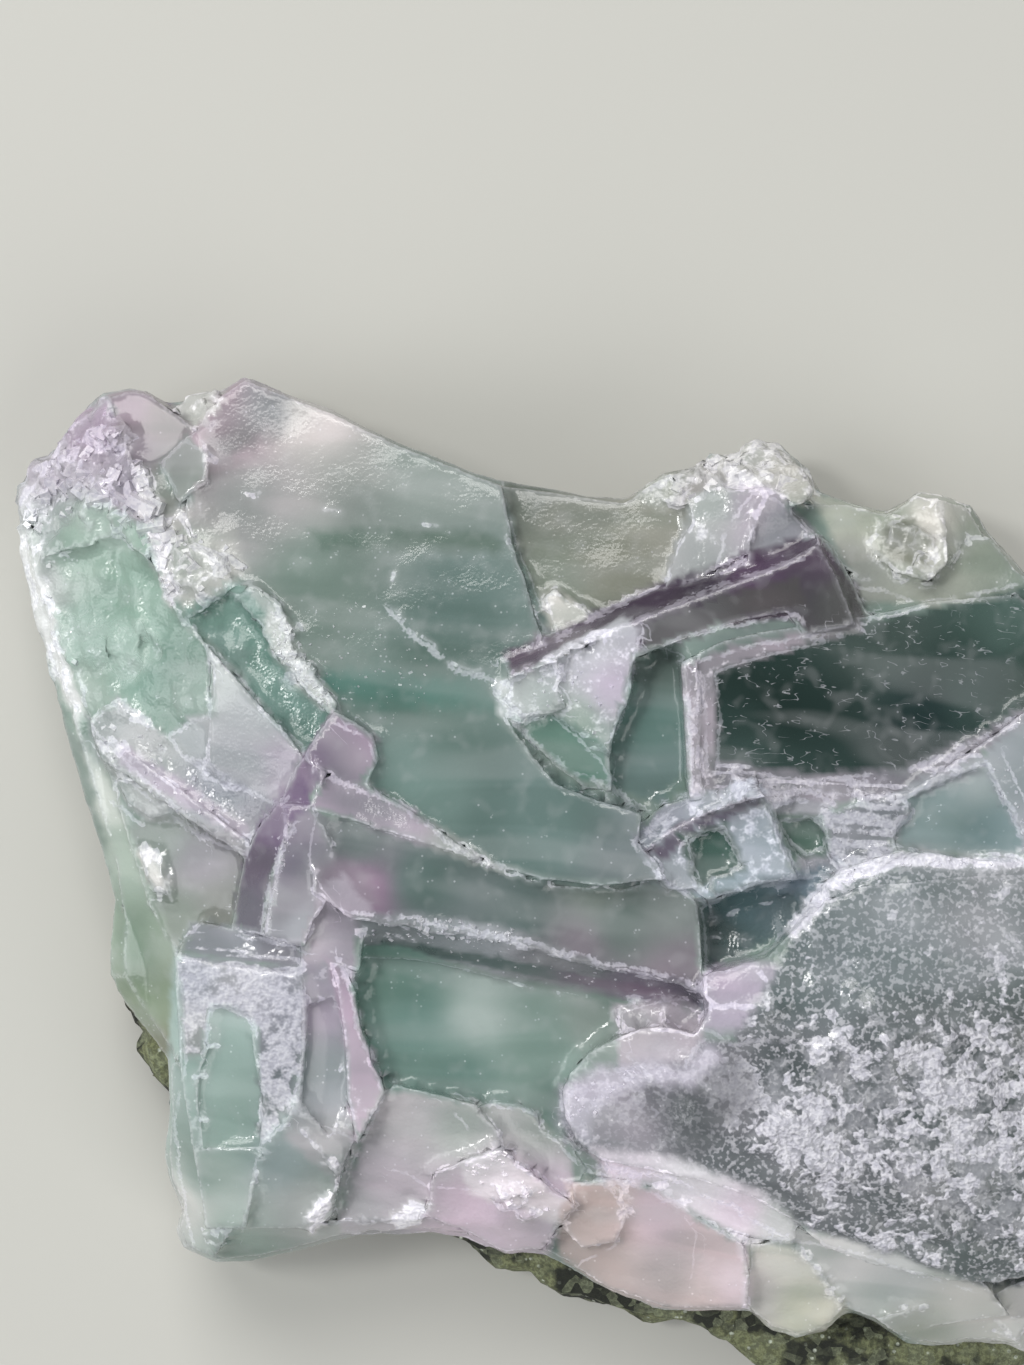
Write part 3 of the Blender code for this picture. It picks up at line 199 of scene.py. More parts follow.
# The crystals' colours. Each zone: how soft its edge is in millimetres, its marks, its colour spots
# (across, down, red, green, blue) and its outline. The marks say how much of its surface is frosted,
# etched, rough, scratched (curls) or in thin layers (banded). Later zones lie on top.
zones = {
    "main plate": (1, {}, [(22, 41.5, 197, 167, 184), (31, 42, 204, 199, 197), (44, 47.5, 142, 153, 148),
      (25, 50, 161, 161, 161), (31, 58, 124, 141, 133), (46, 60, 106, 126, 122), (42, 69, 97, 117, 110),
      (40, 77, 108, 132, 126), (54, 82, 100, 122, 118), (64, 87, 120, 130, 132)],
     [(19, 43.4), (22, 39.2), (24.5, 37.2), (34, 40.6), (42, 44.4), (50.2, 47.8), (51.4, 54), (54, 60),
      (55.4, 62.6), (50, 68.2), (50, 71.5), (55, 77.5), (64, 80.6), (63.8, 84), (67.2, 88.6), (56, 88.4),
      (49, 86.4), (40, 80.5), (33.4, 76.4), (33.8, 71.3), (29, 65), (25, 58.6), (19.4, 55)]),
    "lilac corner of the plate": (2.2, {}, [(22, 41, 142, 130, 138), (27, 40, 152, 152, 156),
      (24, 45, 122, 120, 122)],
     [(19.2, 43), (22, 39.2), (25, 37), (29.4, 39.6), (28, 43), (23, 46.6), (20, 47)]),
    "dark streak": (0.9, {}, [(33, 54, 100, 120, 110), (44, 54, 96, 114, 105)],
     [(31, 53.2), (38, 52.8), (48, 53.2), (51.4, 54), (50, 55.2), (40, 54.9), (32, 54.7)]),
    "second streak": (1.6, {}, [(38, 69, 84, 119, 110)],
     [(31, 67.4), (38, 67), (48, 68.6), (49.6, 70.4), (40, 70.8), (33, 69.8)]),
    "smoky block": (0.4, {}, [(52, 50, 106, 114, 106), (58, 51, 144, 146, 138), (66, 50, 148, 150, 140),
      (55, 58, 118, 128, 116), (62, 57, 122, 126, 114), (72, 51, 144, 142, 134)],
     [(50.2, 48), (56, 48.6), (62.2, 49.6), (67, 47), (72, 46.6), (71, 57.2), (62.8, 60.2), (55.8, 63.8),
      (54.2, 60.4), (51.8, 55.4)]),
    "milky tab": (0.25, {"frost": 0.38}, [(57, 61, 206, 206, 200)],
     [(54.2, 59.8), (55.6, 58.8), (57.2, 60.4), (58.4, 60.6), (59.2, 62.6), (55.8, 64.2), (55, 61.6)]),
    "crown": (0.5, {"frost": 0.5, "rough": 0.6}, [(66, 48, 160, 165, 156), (74, 46, 192, 192, 188),
      (80, 48, 184, 184, 177), (70, 50, 158, 154, 152)],
     [(63.6, 49.4), (66.4, 47), (72, 45.2), (77.2, 43.6), (79.4, 45.4), (81.6, 47.4), (82.2, 50.4),
      (78, 50.2), (76.4, 48.8), (70.4, 49.6), (66, 51.4)]),
    "lilac fin": (0.4, {"frost": 0.3, "rough": 0.25}, [(71, 50, 180, 184, 182), (75.5, 50.5, 186, 176, 188),
      (69, 56, 156, 160, 160), (78, 53, 158, 158, 166)],
     [(69, 49.4), (76.8, 48.2), (79.4, 51), (82, 53.8), (78.4, 54.6), (70, 57.8), (66, 58.9), (68, 53.6)]),
    "top right": (0.6, {"frost": 0.18, "rough": 0.2}, [(83, 51, 178, 184, 172), (89, 53, 168, 174, 160),
      (86, 57, 146, 150, 144), (93, 52, 206, 204, 196), (98, 54, 150, 158, 146), (104, 60, 134, 148, 138)],
     [(81, 49.6), (84.4, 49.8), (88.6, 50.8), (90.4, 50), (92, 48.8), (94.4, 49.2), (97.2, 50.4),
      (100.8, 54.6), (107, 62), (98, 60.6), (86, 60.2), (84.6, 56.6)]),
    "sparkling pit": (0.4, {"frost": 0.14, "rough": 0.25}, [(90.5, 54, 126, 130, 118)],
     [(88.6, 52.6), (91.6, 51.8), (93, 54), (92.4, 56.4), (89.6, 56.2), (88.2, 54.4)]),
    "violet bar": (0.35, {}, [(56, 65, 104, 92, 106), (64, 61, 66, 52, 72), (70, 58, 58, 46, 64),
      (75, 56.4, 94, 74, 98), (82, 56, 80, 70, 84), (84, 60, 86, 86, 86)],
     [(50.4, 65.2), (58, 61.9), (62.8, 59.8), (70, 56.8), (79, 54), (82, 53.6), (85.4, 58.6), (87, 62.2),
      (80.6, 63.8), (79.8, 62.2), (72.4, 62.4), (64.2, 65.4), (62.8, 63.4), (56, 65.8), (51, 68)]),
    "grey band of the bar": (0.35, {}, [(68, 62, 96, 96, 98), (78, 59.4, 86, 82, 84)],
     [(64, 62.6), (72, 59.6), (80, 57.6), (80.4, 60.8), (74, 62), (64.4, 65.2)]),
    "lilac break": (0.3, {"frost": 0.36, "rough": 0.25}, [(52, 70, 192, 200, 198), (58, 66, 204, 204, 212),
      (61, 69, 190, 182, 198), (58, 72, 178, 192, 184)],
     [(49.8, 68.6), (56, 64.9), (62.4, 61.6), (64.2, 63), (63.4, 66), (63, 69.8), (61.2, 73.4), (60.2, 76),
      (57.4, 73.2), (55, 71.6), (51.6, 72.6), (50, 71.2)]),
    "green below the break": (0.25, {}, [(56, 74, 118, 150, 138), (60, 77, 104, 138, 126)],
     [(52, 72.4), (55.2, 71.3), (60.4, 74.2), (61.4, 78.4), (58, 78), (54.6, 75.4)]),
    "dark floor": (0.4, {}, [(66, 66, 130, 146, 140), (65, 72, 102, 130, 124), (66, 78, 120, 140, 138),
      (76, 63.6, 110, 124, 120)],
     [(63.2, 66.4), (64.4, 65.4), (74, 62.4), (80, 62.4), (80.6, 63.8), (72, 65), (68.4, 66.6), (68.6, 77),
      (66, 80.4), (61.4, 78.6), (60.6, 75.4), (62.4, 70)]),
    "dark cube": (0.5, {"curls": 0.8}, [(74, 68, 34, 53, 49), (80, 71, 27, 46, 42), (92, 72, 30, 49, 48),
      (88, 63, 72, 86, 82), (100, 62, 76, 97, 91), (98, 68, 51, 70, 66), (104, 70, 53, 76, 68),
      (76, 77, 51, 70, 66)],
     [(68.2, 66.4), (76, 64.2), (84, 62.8), (94, 60.6), (103, 58.6), (110.4, 66), (103, 71.4), (96, 74.8),
      (90, 77.2), (82, 79.4), (69.2, 79)]),
    "frame of the dark cube": (0.25, {"frost": 0.34}, [(69, 72, 158, 152, 160), (76, 65, 150, 144, 152),
      (84, 63.4, 128, 126, 130)],
     [(68, 66.3), (76, 64.2), (86, 62.2), (86.2, 63), (78, 65.2), (71.4, 67.2), (71.8, 73), (71.2, 76.4),
      (71.4, 79), (68.9, 79.4), (68.4, 72)]),
    "ledge of the dark cube": (0.4, {"frost": 0.4, "rough": 0.2, "banded": 1}, [(73, 78, 122, 120, 128),
      (82, 79, 150, 146, 154), (88, 78, 134, 132, 140)],
     [(71.4, 75.8), (76, 76.8), (83, 77.4), (89.6, 77), (94, 75.2), (102.4, 71.2), (103.6, 72.2), (96, 76.6),
      (90, 79.4), (84, 80.6), (76.6, 80.4), (71.6, 79.6)]),
    "pale green cube": (0.4, {"frost": 0.3}, [(92, 80, 166, 170, 176), (101, 77, 156, 164, 168),
      (108, 72, 150, 156, 156), (104, 84, 160, 166, 172)],
     [(88, 80), (98, 75.6), (103, 71.6), (111, 67), (114, 76), (113.4, 85), (96, 85.4), (90, 85)]),
    "window of the pale cube": (0.25, {}, [(94, 81, 136, 154, 154), (99, 83, 126, 146, 148),
      (98, 78, 156, 168, 168)],
     [(90.6, 79.9), (98.4, 76.6), (100.2, 79.6), (102.4, 83.8), (102, 85.3), (95, 85), (89.9, 84.7),
      (90, 82.6), (91.2, 81.6)]),
    "small cubes": (0.25, {"frost": 0.44, "rough": 0.3}, [(66, 83, 144, 148, 158), (72, 81.6, 168, 172, 182),
      (76, 84, 178, 186, 196), (67, 88, 168, 174, 182), (73, 89, 154, 170, 178)],
     [(63.1, 83.8), (66.4, 80.6), (75.6, 77.8), (76.6, 80.2), (79.8, 88), (76, 88.5), (70.9, 90),
      (66, 88.4)]),
    "lilac line on the small cubes": (0.2, {}, [(70, 82, 112, 104, 120)],
     [(64.4, 85.2), (67.6, 82.4), (75.8, 79.4), (76.2, 80.4), (69.6, 83), (66.6, 86)]),
    "window of the small cube": (0.1, {}, [(71.5, 85, 66, 92, 84)],
     [(68, 83.6), (72.5, 82.4), (74.7, 86.8), (71.2, 88), (70.9, 88.9), (69.2, 87.8)]),
    "second small cube": (0.25, {"frost": 0.4, "rough": 0.4}, [(80, 84, 150, 152, 158)],
     [(76.8, 80), (82.6, 80.2), (84.6, 83), (84.4, 87.2), (80.6, 88.4), (78.4, 83.8)]),
    "window of the second cube": (0.1, {}, [(80, 83.4, 80, 104, 94)],
     [(77.4, 81.4), (82.2, 81.3), (83, 85.4), (79.2, 85.8)]),
    "white corner cube": (0.25, {"frost": 0.56, "banded": 0.3}, [(86, 83, 122, 126, 132)],
     [(82.4, 81.4), (90.4, 79.2), (90.8, 81.6), (89.6, 82.4), (89.3, 85.4), (84, 86.8), (82.8, 84.4)]),
    "teal pit": (0.5, {"frost": 0.16, "rough": 0.3, "banded": 0.3}, [(74, 90, 88, 112, 116),
      (80, 88, 108, 124, 134), (72, 94, 76, 92, 92), (80, 91, 94, 108, 110)],
     [(70.2, 90.2), (76, 88.2), (84, 86), (82.6, 88.6), (79.6, 92.6), (74.6, 95.4), (70.6, 96.6)]),
    "left tower": (0.8, {"frost": 0.16, "rough": 0.42}, [(8, 56, 152, 174, 162), (12, 60, 138, 166, 152),
      (14, 67, 130, 160, 148), (19, 70, 138, 160, 150), (9, 68, 162, 180, 170), (4, 58, 182, 188, 186)],
     [(1, 52), (8, 50), (13, 50), (16.6, 56), (17.6, 61), (21.4, 66), (21.4, 72), (16.8, 73.9), (12, 70.4),
      (7.6, 74), (4.4, 66)]),
    "rough band of the tower": (1.2, {"frost": 0.3, "rough": 0.8}, [(10, 64, 166, 188, 178)],
     [(5.2, 61.4), (9, 60.2), (13, 62), (16.4, 63.4), (15.8, 66.8), (12, 67.8), (8.6, 65.8), (6.8, 66.4)]),
    "shoulder crust": (0.7, {"frost": 0.34, "rough": 0.9}, [(5, 47, 172, 166, 176), (9, 43, 168, 152, 170),
      (12, 48, 164, 156, 168), (8, 52, 162, 172, 168), (3, 53, 200, 204, 204)],
     [(1, 53), (2.6, 46.4), (5.6, 45), (8.6, 40.6), (10.8, 39.6), (12.6, 43.6), (15.4, 50), (16, 54),
      (12, 50.8), (8.4, 50.4), (4.6, 54.6), (2.6, 57)]),
    # the white along the left edge is partly frost and partly a painted glow of light shining through the
    # thin edge
    "white left edge with painted glow": (0.5, {"frost": 0.5, "rough": 0.35}, [(3, 60, 222, 226, 224)],
     [(1.6, 53.6), (3.6, 53), (4, 57), (5.4, 61), (6.8, 66), (8.4, 71), (8, 73.6), (5.4, 67.4), (3.4, 62)]),
    "pink top face": (0.4, {}, [(13, 41, 152, 140, 150), (16, 42, 150, 144, 146), (16.5, 49, 134, 140, 134),
      (13.4, 45, 146, 136, 146)],
     [(10.8, 39.4), (14.8, 38.6), (17.4, 40.4), (19.4, 42.6), (18.4, 44.6), (16, 46.6), (18, 50),
      (16.2, 53.4), (15, 49.4), (12.8, 45.4)]),
    "smoky chip": (0.25, {"frost": 0.12}, [(18, 46, 140, 144, 142), (19.6, 48, 146, 152, 148)],
     [(16, 46.3), (18.6, 43.6), (20.6, 45.2), (20.6, 47.8), (18.2, 50.2)]),
    "top chips": (0.4, {"frost": 0.45, "rough": 0.6}, [(20, 40, 196, 196, 192)],
     [(17.6, 41), (19, 39), (22.4, 38.8), (21.6, 41), (19.6, 42.8)]),
    "white splinters": (0.3, {"frost": 0.62, "rough": 0.6}, [(15, 51, 206, 206, 206)],
     [(13.2, 46.8), (14.6, 46.6), (16.4, 52), (17.4, 56), (18.2, 58.6), (17.2, 61.4), (15.6, 57),
      (14.6, 52.6)]),
    "frosted heap": (0.7, {"frost": 0.3, "rough": 0.3}, [(20, 55, 178, 182, 176), (21, 51, 168, 166, 166)],
     [(16.6, 52), (20, 49.4), (23, 52), (24.6, 57), (22, 60.2), (18.4, 61.2), (17, 57)]),
    "green gutter": (0.4, {"frost": 0.1, "rough": 0.4}, [(21, 61, 120, 150, 140), (27, 64, 106, 138, 128),
      (30, 71, 112, 142, 134), (21, 64.6, 138, 162, 156)],
     [(18, 61.4), (23.6, 57.8), (28.6, 63.4), (33.2, 70.8), (30.6, 75.4), (26, 70.4), (20.8, 64.4)]),
    "crushed line": (0.6, {"frost": 0.36, "rough": 0.4}, [(29, 66, 190, 196, 192)],
     [(27.2, 60.6), (28.8, 62), (29.8, 65.2), (33.4, 70), (33, 71.4), (29.6, 68.6), (27.4, 65), (26.4, 62)]),
    "lilac plate": (0.35, {"frost": 0.16, "banded": 0.12}, [(22, 67, 180, 188, 186), (26, 71, 168, 174, 176),
      (24, 77, 160, 164, 168), (29, 76, 168, 162, 174)],
     [(20.8, 64.3), (25, 69.2), (30.2, 75.4), (28.4, 80.4), (22, 78.2), (16.8, 73.8), (19, 71.6),
      (21.4, 71.4)]),
    "lilac slope": (0.4, {"frost": 0.24, "rough": 0.3, "banded": 0.15}, [(11, 71.5, 164, 170, 170),
      (15, 74, 168, 172, 172), (22, 79, 146, 150, 158), (13, 79, 174, 180, 178), (24, 83, 138, 140, 146)],
     [(8.8, 72), (12, 70), (16.6, 73.6), (22, 77), (28, 80.4), (25, 85.2), (20, 83.2), (17.6, 81.4),
      (14.6, 82.4), (12, 79), (9.6, 75)]),
    "pink rib": (0.4, {"frost": 0.2}, [(18, 79, 170, 164, 176)],
     [(12, 74.4), (18, 77.8), (24.8, 82.6), (24.6, 84.2), (17.4, 80), (12, 76.4)]),
    "grey slope": (0.5, {"frost": 0.06}, [(16, 84, 132, 142, 136), (20, 86, 136, 134, 140),
      (22, 91, 120, 124, 118), (18, 92, 118, 130, 118)],
     [(12.8, 82.6), (17.8, 81), (24.6, 84.2), (24.2, 88), (23.4, 92.6), (19, 92.6), (17.6, 95.6),
      (14.8, 91)]),
    "left flank": (0.8, {}, [(11, 80, 198, 206, 198), (13, 86, 166, 182, 170), (13, 94, 144, 162, 146),
      (15, 100, 132, 148, 126), (16, 106, 124, 126, 102)],
     [(8.6, 75.4), (11, 78), (14, 86), (17.6, 95.4), (17.6, 109), (14, 103.6), (11, 98.4), (10.6, 92),
      (10.8, 86)]),
    "white scale": (0.25, {"frost": 0.3, "rough": 0.5}, [(15, 87, 214, 214, 210)],
     [(14, 85), (15.6, 85.2), (16.6, 88.8), (15, 88.6)]),
    "violet corner": (0.35, {"frost": 0.06}, [(33, 73, 168, 154, 170), (31.6, 75.6, 122, 104, 130),
      (35.6, 75.4, 160, 146, 162), (33, 78, 126, 118, 134)],
     [(33.3, 71), (37.6, 73.6), (37.4, 76.4), (35.2, 78.8), (32, 78.4), (30.4, 80.6), (28.2, 80),
      (30.2, 75.6)]),
    "violet wall": (0.3, {}, [(28, 80.4, 116, 100, 126), (25.6, 86, 96, 86, 104), (24.6, 91, 102, 100, 112),
      (28, 83, 108, 92, 120)],
     [(30.2, 77.4), (31.4, 80.4), (29.6, 82.4), (28, 84.8), (26.8, 88.6), (26.2, 93), (23.4, 92.4),
      (24.2, 86.6), (26, 82.2)]),
    "violet block": (0.35, {"frost": 0.08}, [(29, 86, 130, 124, 138), (28, 91, 142, 142, 148),
      (31.6, 88, 156, 152, 160), (30, 93, 170, 172, 178)],
     [(28.8, 82.6), (31, 80.6), (34, 85), (34, 90), (31.2, 95), (26.2, 93.6), (27.4, 87)]),
    "grey wedge": (0.4, {"frost": 0.1}, [(33, 79, 166, 156, 170), (40, 82, 172, 164, 176),
      (46, 85, 160, 166, 162), (56, 87.6, 136, 154, 150)],
     [(31.4, 80.6), (32.4, 77.8), (36, 78.4), (40, 80.4), (44.6, 83.4), (49.8, 86.4), (57, 88.2),
      (66.4, 88.9), (60, 89.2), (50, 87.6), (41, 84.2), (34.6, 81.8)]),
    "green wedge": (0.35, {}, [(36, 84, 114, 124, 124), (42, 88, 94, 114, 110), (52, 91, 92, 108, 106),
      (60, 89, 124, 134, 128), (62, 92, 106, 120, 116), (67, 91, 130, 138, 136), (58, 95, 130, 124, 132),
      (68, 97, 144, 134, 144), (36, 89, 146, 120, 144)],
     [(31, 80.9), (40, 83.6), (50, 87.2), (58, 88.7), (66.8, 88.6), (69.8, 90.2), (70.1, 96.4), (70.4, 99.6),
      (60, 97.2), (48, 94.2), (40, 93), (34, 92), (33.6, 86)]),
    "pink blotch": (0.9, {}, [(35, 87.6, 150, 136, 150)],
     [(31.8, 86.8), (34.2, 85.8), (37.4, 87.6), (37.8, 90.2), (35, 91.4), (32.2, 91.2)]),
    "pink strip": (0.35, {"frost": 0.24, "rough": 0.2}, [(34, 92, 180, 168, 182), (34, 96, 172, 164, 176),
      (31.6, 94, 186, 180, 188)],
     [(30.4, 94.6), (32.2, 88.4), (34.4, 87.4), (37.2, 91), (35.6, 94), (35.4, 98.8), (33, 96.4),
      (30.2, 97.4)]),
    "crusted seam": (0.45, {"frost": 0.24, "rough": 0.35}, [(38, 92.6, 136, 140, 144),
      (47, 93.6, 150, 156, 160), (56, 96, 126, 128, 132), (66, 98.6, 110, 102, 116)],
     [(35.6, 91.4), (42, 91.4), (51, 92.8), (60, 96), (70.3, 98.4), (70.3, 101), (62, 99.8), (50, 97.6),
      (40, 94.8), (36, 94.6)]),
    "dark line of the seam": (0.3, {}, [(50, 96, 88, 104, 102), (62, 98.6, 112, 98, 114)],
     [(38, 93.8), (48, 95.4), (60, 97.8), (69.4, 99.6), (69.2, 100.4), (60, 98.9), (48, 96.6), (38, 94.6)]),
    "bright green floor": (0.35, {}, [(38, 97, 122, 152, 142), (42, 102, 108, 138, 130),
      (48, 101, 156, 172, 166), (54, 105, 134, 156, 148), (46, 108, 102, 130, 122), (56, 111, 120, 142, 134),
      (60, 102, 148, 160, 154)],
     [(36, 94.4), (40, 94.6), (48, 97.5), (58, 99.6), (62.6, 101.4), (63, 105.6), (59, 108), (57, 110.4),
      (56.4, 113.6), (54, 111.4), (50, 110.5), (38.6, 109), (37, 105), (35.4, 99)]),
    "cream crystal": (0.35, {"frost": 0.2, "rough": 0.25}, [(64, 103, 184, 178, 184),
      (68, 102, 178, 168, 178), (66, 106, 186, 182, 190)],
     [(61.4, 100.6), (65, 100.2), (70.4, 100.8), (70.6, 104), (68.4, 107.6), (62, 107.4)]),
    "pink saddle": (0.5, {"frost": 0.26, "rough": 0.3}, [(72, 98, 176, 166, 182), (76, 97, 174, 168, 182),
      (73, 102, 178, 170, 186)],
     [(70.2, 96.6), (76.4, 95.8), (78.6, 97), (76.2, 100), (74.6, 103.2), (70.4, 103.2)]),
    "strip above the box": (0.3, {"frost": 0.3, "banded": 0.7}, [(22, 94, 142, 146, 152),
      (29, 95.4, 144, 144, 152)],
     [(18.8, 92.2), (24, 92.8), (30.2, 94.4), (30.4, 96.6), (24, 96.2), (18.6, 95)]),
    "box body": (0.5, {}, [(21, 104, 161, 182, 176), (22, 112, 151, 172, 165), (20, 118, 160, 174, 168),
      (28, 116, 148, 162, 162), (24, 123, 156, 172, 164), (31, 121, 166, 170, 168), (18, 120, 206, 206, 202),
      (38, 122, 164, 170, 164)],
     [(17.4, 95.4), (30.4, 97), (30.2, 110.2), (33, 113), (35, 114.4), (33.8, 120.6), (47.2, 122.2),
      (47, 123.8), (36, 123.8), (24, 127), (17, 125.4), (16.2, 117), (16.8, 106)]),
    "frosted band of the box": (0.3, {"frost": 0.62, "rough": 0.1}, [(19, 98, 136, 142, 149),
      (24, 98.6, 152, 154, 159), (29, 100, 134, 136, 145), (28, 106, 130, 133, 140), (28, 112, 138, 142, 145),
      (19, 103, 154, 157, 157)],
     [(17.8, 95.4), (30.4, 97), (30.8, 101), (30.4, 106), (29.4, 110), (27.2, 113.2), (25.9, 113.8),
      (26.2, 110), (25.5, 102), (23.6, 101.2), (21.5, 100.4), (20.8, 102), (20.3, 105.4), (18.5, 105.8),
      (18, 101)]),
    "slate face": (0.4, {}, [(32, 100, 168, 160, 174), (33, 108, 162, 168, 172), (33, 115, 174, 174, 176)],
     [(30.6, 96.4), (34, 96.6), (35, 101), (35.4, 113), (35.8, 115), (34.4, 119), (28.4, 113.6),
      (30.4, 106)]),
    "pink blade": (0.25, {"frost": 0.32}, [(34.4, 99, 178, 160, 178), (36.4, 106, 202, 184, 200),
      (36.4, 112, 192, 180, 192)],
     [(32.6, 96), (34.4, 97), (35.4, 99.4), (36.1, 103), (37.4, 106.2), (38.4, 109.2), (35.6, 114.4),
      (34.9, 110), (34.4, 102.6)]),
    "bottom lilac": (0.5, {"frost": 0.15, "rough": 0.2}, [(41, 111, 186, 184, 186), (46, 113, 176, 182, 178),
      (38, 118, 188, 180, 188), (46, 120, 210, 192, 206), (52, 119, 224, 204, 224), (54, 113, 166, 172, 168),
      (52, 123, 206, 192, 202), (36, 121, 178, 176, 180)],
     [(38.2, 109), (44, 109.8), (50, 110.6), (53.6, 111.4), (57, 116), (57.8, 120.8), (56, 122.4),
      (54.8, 125.6), (50, 126), (43, 124.4), (34, 123.4), (34.6, 119.4), (36, 115)]),
    "white corner chips": (0.2, {"frost": 0.8, "rough": 0.4}, [(32, 121, 224, 222, 224)],
     [(33.2, 118.8), (33.2, 121.6), (31, 123.8), (30.6, 122.4)]),
    "white nick": (0.2, {"frost": 0.85, "rough": 0.4}, [(41, 121.4, 228, 226, 228)],
     [(39, 121.6), (41.4, 119.8), (42.8, 120.4), (42.2, 122.4), (40, 122.8)]),
    "bright pink prow": (0.4, {"frost": 0.22, "rough": 0.3}, [(50, 118, 236, 228, 234),
      (55, 120, 224, 216, 220)],
     [(46, 116.4), (50, 114.8), (54, 118), (57.6, 120.8), (55.8, 122.6), (51, 120.6), (47, 119.4)]),
    "pink face": (0.4, {"frost": 0.08, "rough": 0.15}, [(60, 120, 196, 178, 174), (66, 121, 202, 186, 194),
      (72, 125, 202, 186, 188), (60, 126, 194, 180, 176), (70, 130, 198, 184, 182),
      (73.6, 128, 220, 204, 210)],
     [(57.2, 118.4), (62, 118), (67.4, 119.8), (70.4, 122.4), (74.4, 124.4), (75, 130.6), (72, 132),
      (62, 130), (56, 125.8), (55.8, 122.4)]),
    "bright rim of the pink face": (0.15, {"frost": 0.5}, [(74.4, 128, 226, 214, 222)],
     [(74, 124.2), (74.7, 124.4), (75.1, 130.8), (74.3, 130.9)]),
    "cream toe": (0.5, {"rough": 0.2}, [(78, 126, 218, 218, 208), (80, 131, 208, 208, 192),
      (76, 129, 210, 204, 202)],
     [(74.8, 124.2), (79.4, 124.6), (82, 127.2), (85, 131), (83, 133.6), (77, 133.6), (74.8, 131.4)]),
    "pale teal foot": (0.6, {"frost": 0.06}, [(84, 125, 216, 216, 214), (90, 128, 198, 202, 200),
      (98, 131, 212, 212, 206), (105, 130, 200, 200, 198), (92, 133, 176, 180, 170)],
     [(79, 123.4), (84, 123), (91, 125.4), (98, 128), (108, 126), (107, 131), (102.6, 136), (94, 135),
      (87, 132.8), (82.4, 128)]),
    "etched dome": (0.5, {"etch": 1, "rough": 0.15}, [(88, 92, 146, 154, 156), (100, 90, 160, 164, 166),
      (80, 96, 130, 140, 142), (76, 108, 132, 132, 138), (92, 104, 120, 126, 128), (104, 104, 112, 118, 118),
      (86, 116, 130, 132, 136), (98, 120, 124, 130, 130), (108, 96, 128, 136, 136)],
     [(70.3, 103.8), (73.4, 104), (75.4, 101), (77.4, 98), (79.2, 93.6), (82, 90.2), (85.4, 87.8), (92, 86.4),
      (113.6, 86.6), (115.4, 105), (112, 118), (107, 128.6), (98, 128.6), (90, 125.6), (80, 122.6),
      (72, 118.8), (62, 117.4), (56.2, 113.6), (56.2, 108.6), (59.8, 107.6), (65, 106.5), (68, 107.4)]),
    "finely etched top of the dome": (2.6, {"etch": 0.72}, [(88, 90, 158, 164, 168), (100, 89, 166, 168, 172),
      (108, 92, 146, 152, 156), (82, 96, 138, 146, 150)],
     [(80, 94), (84, 89), (92, 87), (113, 87.2), (113, 95), (98, 98), (84, 100)]),
    "white dendrites of the dome": (2.4, {"etch": 1, "frost": 0.55}, [(84, 108, 116, 120, 124),
      (96, 114, 106, 112, 114), (104, 110, 100, 106, 106), (90, 120, 116, 118, 122)],
     [(73, 107), (80, 104), (94, 103), (112, 100), (112, 124), (98, 125), (86, 118), (76, 112)]),
    "smooth lobe of the dome": (1.8, {"etch": 0.35, "frost": 0.2}, [(59, 108, 168, 164, 174),
      (66, 108, 116, 116, 122), (62, 114, 162, 158, 166), (70, 111, 104, 106, 110)],
     [(56, 112.4), (56.4, 108.4), (60, 107.4), (66, 106.4), (71, 106), (74.6, 104.6), (76, 110), (70, 116.4),
      (62, 117.2)]),
    "pale rim of the lobe": (0.9, {"frost": 0.42, "etch": 0.4}, [(58, 108, 190, 186, 198)],
     [(56, 112.6), (56.2, 109), (59.8, 107.2), (65, 106.1), (68.4, 107), (71, 103.8), (72.4, 105.4),
      (69, 108.8), (65, 108.2), (61.4, 109.2), (59, 111.6), (59, 114)]),
    "lilac tongue": (0.9, {"frost": 0.24, "etch": 0.2}, [(62, 116.4, 244, 230, 242),
      (70, 118.4, 246, 240, 246), (78, 122.6, 246, 246, 246), (74, 121, 244, 230, 242)],
     [(59.4, 115), (66, 115.4), (73, 117.6), (78.4, 120.6), (80.2, 123.8), (75, 124.2), (70, 121.6),
      (65, 118.6), (60, 117.6)]),
    "white sill": (0.45, {"frost": 0.8, "rough": 0.3}, [(95, 86, 206, 206, 212)],
     [(78.6, 93), (81.4, 89.4), (84.4, 86.8), (90, 85.2), (102, 85.7), (113.8, 85.6), (113.8, 86.8),
      (100, 86.9), (90, 86.7), (85.4, 88.2), (82, 91), (79.6, 94)]),
}

